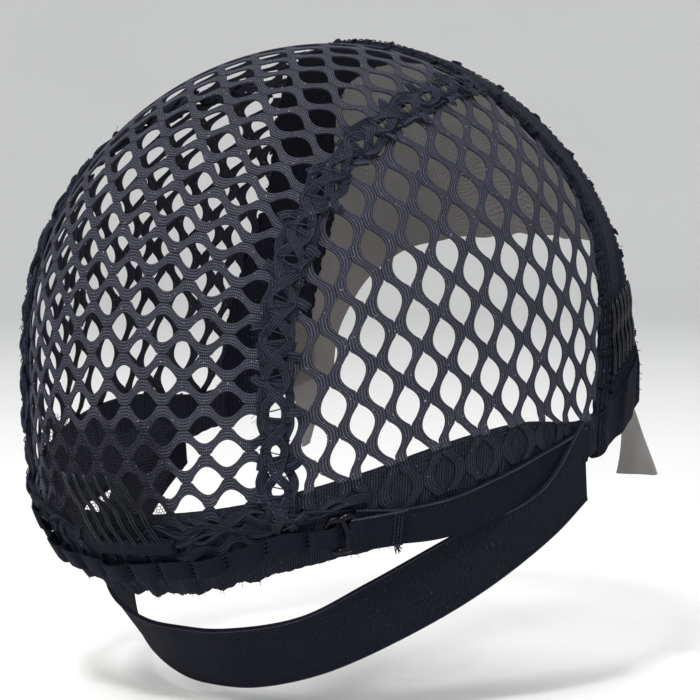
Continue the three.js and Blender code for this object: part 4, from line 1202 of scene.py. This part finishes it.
def make_tulle():
    """Hexagon threads of the tulle patch, cut ragged, lying loosely over the net."""
    size = TULLE["cell"]
    width = float(turn_length(TULLE["to"] - TULLE["from"]))
    tall = TULLE["high"] - TULLE["low"]
    threads = Piece()

    def place(x, y):
        ripple = 0.5 * np.sin(x * 0.55) * np.cos(y * 0.4) + 0.3 * np.sin(x * 1.3 + y * 0.9)
        warp_x, warp_y = 0.25 * np.sin(y * 0.8 + x * 0.3), 0.25 * np.sin(x * 0.9 - y * 0.2)
        turn = TULLE["from"] + np.degrees((x + warp_x) / MEAN_RADIUS)
        return hem_point(turn, TULLE["low"] + y + warp_y, TULLE["out"] + ripple)

    def ragged(x, y):
        left = 1.2 + 1.2 * math.sin(y * 0.7) + 0.8 * math.sin(y * 1.9)
        right = width - 1.2 - 1.3 * math.sin(y * 0.55 + 1) - 0.9 * math.sin(y * 1.6)
        top = tall - 1.5 - 1.8 * math.sin(x * 0.35) - 0.9 * math.sin(x * 1.2 + 2)
        return left < x < right and 0 < y < top

    side = size / math.sqrt(3)
    for row in range(int(tall / (1.5 * side)) + 1):
        for column in range(int(width / size) + 1):
            x, y = (column + 0.5 * (row % 2)) * size, row * 1.5 * side
            corner = [(x + side * math.sin(a), y + side * math.cos(a)) for a in np.radians([0, 60, 120, 180])]
            for (x0, y0), (x1, y1) in zip(corner, corner[1:]):
                if ragged(x0, y0) and ragged(x1, y1):
                    line = place(np.linspace(x0, x1, 3), np.linspace(y0, y1, 3))
                    threads.wire(line, TULLE["thread"], 4)
    threads.finish("comb_tulle_threads", tulle_thread, "tulle", ["comb_lace"])


def temple_tilt(y, extra):
    return TEMPLE_COMB["low"] - TEMPLE_COMB["slope"] * (TEMPLE_COMB["rear"] - y) - extra


def make_temple_comb(side, mirror):
    wires, tape = Piece(), Piece()
    comb, seat = TEMPLE_COMB, TEMPLE_COMB["seat"]
    front, rear = comb["front"], comb["rear"]
    f = np.linspace(0, 1, 18)
    size = tooth_radii(f, comb)
    for foot in np.linspace(front + comb["margin"], rear - comb["margin"], comb["teeth"]):
        tilt = temple_tilt(foot, comb["length"] * f)
        for gap in (-comb["gap"], comb["gap"]):
            wires.wire(hoop_point(tilt, foot + gap * (1 - f**8), seat - tooth_kink(f, comb)), size, 8)
    y = np.linspace(front + 0.5, rear - 0.5, 24)
    for drop in (-0.4, -1.5):
        wires.wire(hoop_point(temple_tilt(y, drop), y, seat), COMB_RAIL, 8)
    wires.finish(f"temple_comb_wires_{side}", comb_wire, "comb", [f"temple_comb_{side}"], mirror=mirror)

    def cover(y, v, out):
        tilt = temple_tilt(y, -comb["depth"] * (1 - v))
        return hoop_point(tilt, y, padded(v, comb["inner"], out))

    tape.wall(cover, np.linspace(rear, front, 30), np.linspace(0, 1, 9), comb["inner"], comb["outer"],
              lambda u, v: np.stack([u, v * comb["width"]], -1))
    g = np.linspace(0, 1, 6)
    for y in np.arange(front + 0.8, rear - 0.5, 1.5):
        at = y + 0.4 * g
        path = hoop_point(temple_tilt(at, -4.2 + 4.6 * g), at, 5.4 - 1.2 * (2 * g - 1) ** 4)
        tape.wire(path, THREAD["comb_stitch"], 4)
    tape.finish(f"temple_comb_tape_{side}", ribbon_weave, "comb", mirror=mirror)


# Camera, floor and light

def make_stage():
    floor_z = cad_box[0].z - FLOOR["gap"]
    flat, bend, n = FLOOR["flat"], FLOOR["bend"], FLOOR["sides"]
    profile = [(0.0, 0.0), (flat, 0.0)]
    for t in np.linspace(0.1, math.pi / 2, 12):
        profile.append((flat + bend * math.sin(t), bend - bend * math.cos(t)))
    profile.append((flat + bend, FLOOR["high"]))
    turns = np.linspace(0, 2 * math.pi, n + 1)[:-1]
    points = [(r * math.cos(t), r * math.sin(t), floor_z + h) for r, h in profile for t in turns]
    faces = [(k * n + i, k * n + (i + 1) % n, (k + 1) * n + (i + 1) % n, (k + 1) * n + i)
             for k in range(len(profile) - 1) for i in range(n)]
    mesh = bpy.data.meshes.new("floor")
    mesh.from_pydata(points, [], faces)
    mesh.polygons.foreach_set("use_smooth", [True] * len(mesh.polygons))
    material, s, surface, _ = start_material("floor_paper", Roughness=0.9)
    slow = s.noise(s.place(), 3.0, 2.0)
    s.feed(surface, "Base Color", s.mix(slow, (0.74, 0.74, 0.73, 1), (0.80, 0.80, 0.79, 1)))
    mesh.materials.append(material)
    floor = bpy.data.objects.new("floor", mesh)
    bpy.context.scene.collection.objects.link(floor)


def view_direction(azimuth, elevation):
    a, e = math.radians(azimuth), math.radians(elevation)
    return Vector((math.sin(a) * math.cos(e), -math.cos(a) * math.cos(e), math.sin(e)))


def make_light(name, azimuth, elevation, distance, size, power, colour):
    light = bpy.data.lights.new(name, "AREA")
    light.shape = "SQUARE"
    light.size, light.energy, light.color = size, power, colour
    lamp = bpy.data.objects.new(name, light)
    direction = view_direction(azimuth, elevation)
    lamp.location = FORM_CENTRE + direction * distance
    lamp.rotation_mode = "QUATERNION"
    lamp.rotation_quaternion = direction.to_track_quat("Z", "Y")
    bpy.context.scene.collection.objects.link(lamp)


def make_camera():
    camera = bpy.data.objects.new("camera", bpy.data.cameras.new("camera"))
    bpy.context.scene.collection.objects.link(camera)
    direction = view_direction(VIEW["azimuth"], VIEW["elevation"])
    camera.location = FORM_CENTRE + direction * VIEW["distance"]
    camera.rotation_mode = "QUATERNION"
    camera.rotation_quaternion = (-direction).to_track_quat("-Z", "Y")
    camera.data.lens = VIEW["lens"]
    camera.data.clip_start = 0.01
    half = VIEW["frame"] / 2
    camera.data.shift_x = (half - VIEW["middle"][0]) / VIEW["frame"]
    camera.data.shift_y = (VIEW["middle"][1] - half) / VIEW["frame"]
    bpy.context.scene.camera = camera


def make_world():
    world = bpy.data.worlds.new("studio")
    world.use_nodes = True
    background = world.node_tree.nodes["Background"]
    background.inputs["Color"].default_value = (0.93, 0.95, 1.0, 1)
    background.inputs["Strength"].default_value = 0.7
    bpy.context.scene.world = world
    bpy.context.scene.view_settings.view_transform = "Standard"


make_camera()
make_world()
make_stage()
for name, light in LIGHTS.items():
    make_light(name, *light)
make_nets()
make_hem()
make_gathers()
make_loops()
make_elastic()
make_band()
make_lace()
make_nape_comb()
make_tulle()
for side, mirror in SIDES:
    make_seam(side, mirror)
    make_strap(side, mirror)
    make_hook(side, mirror)
    make_temple_comb(side, mirror)
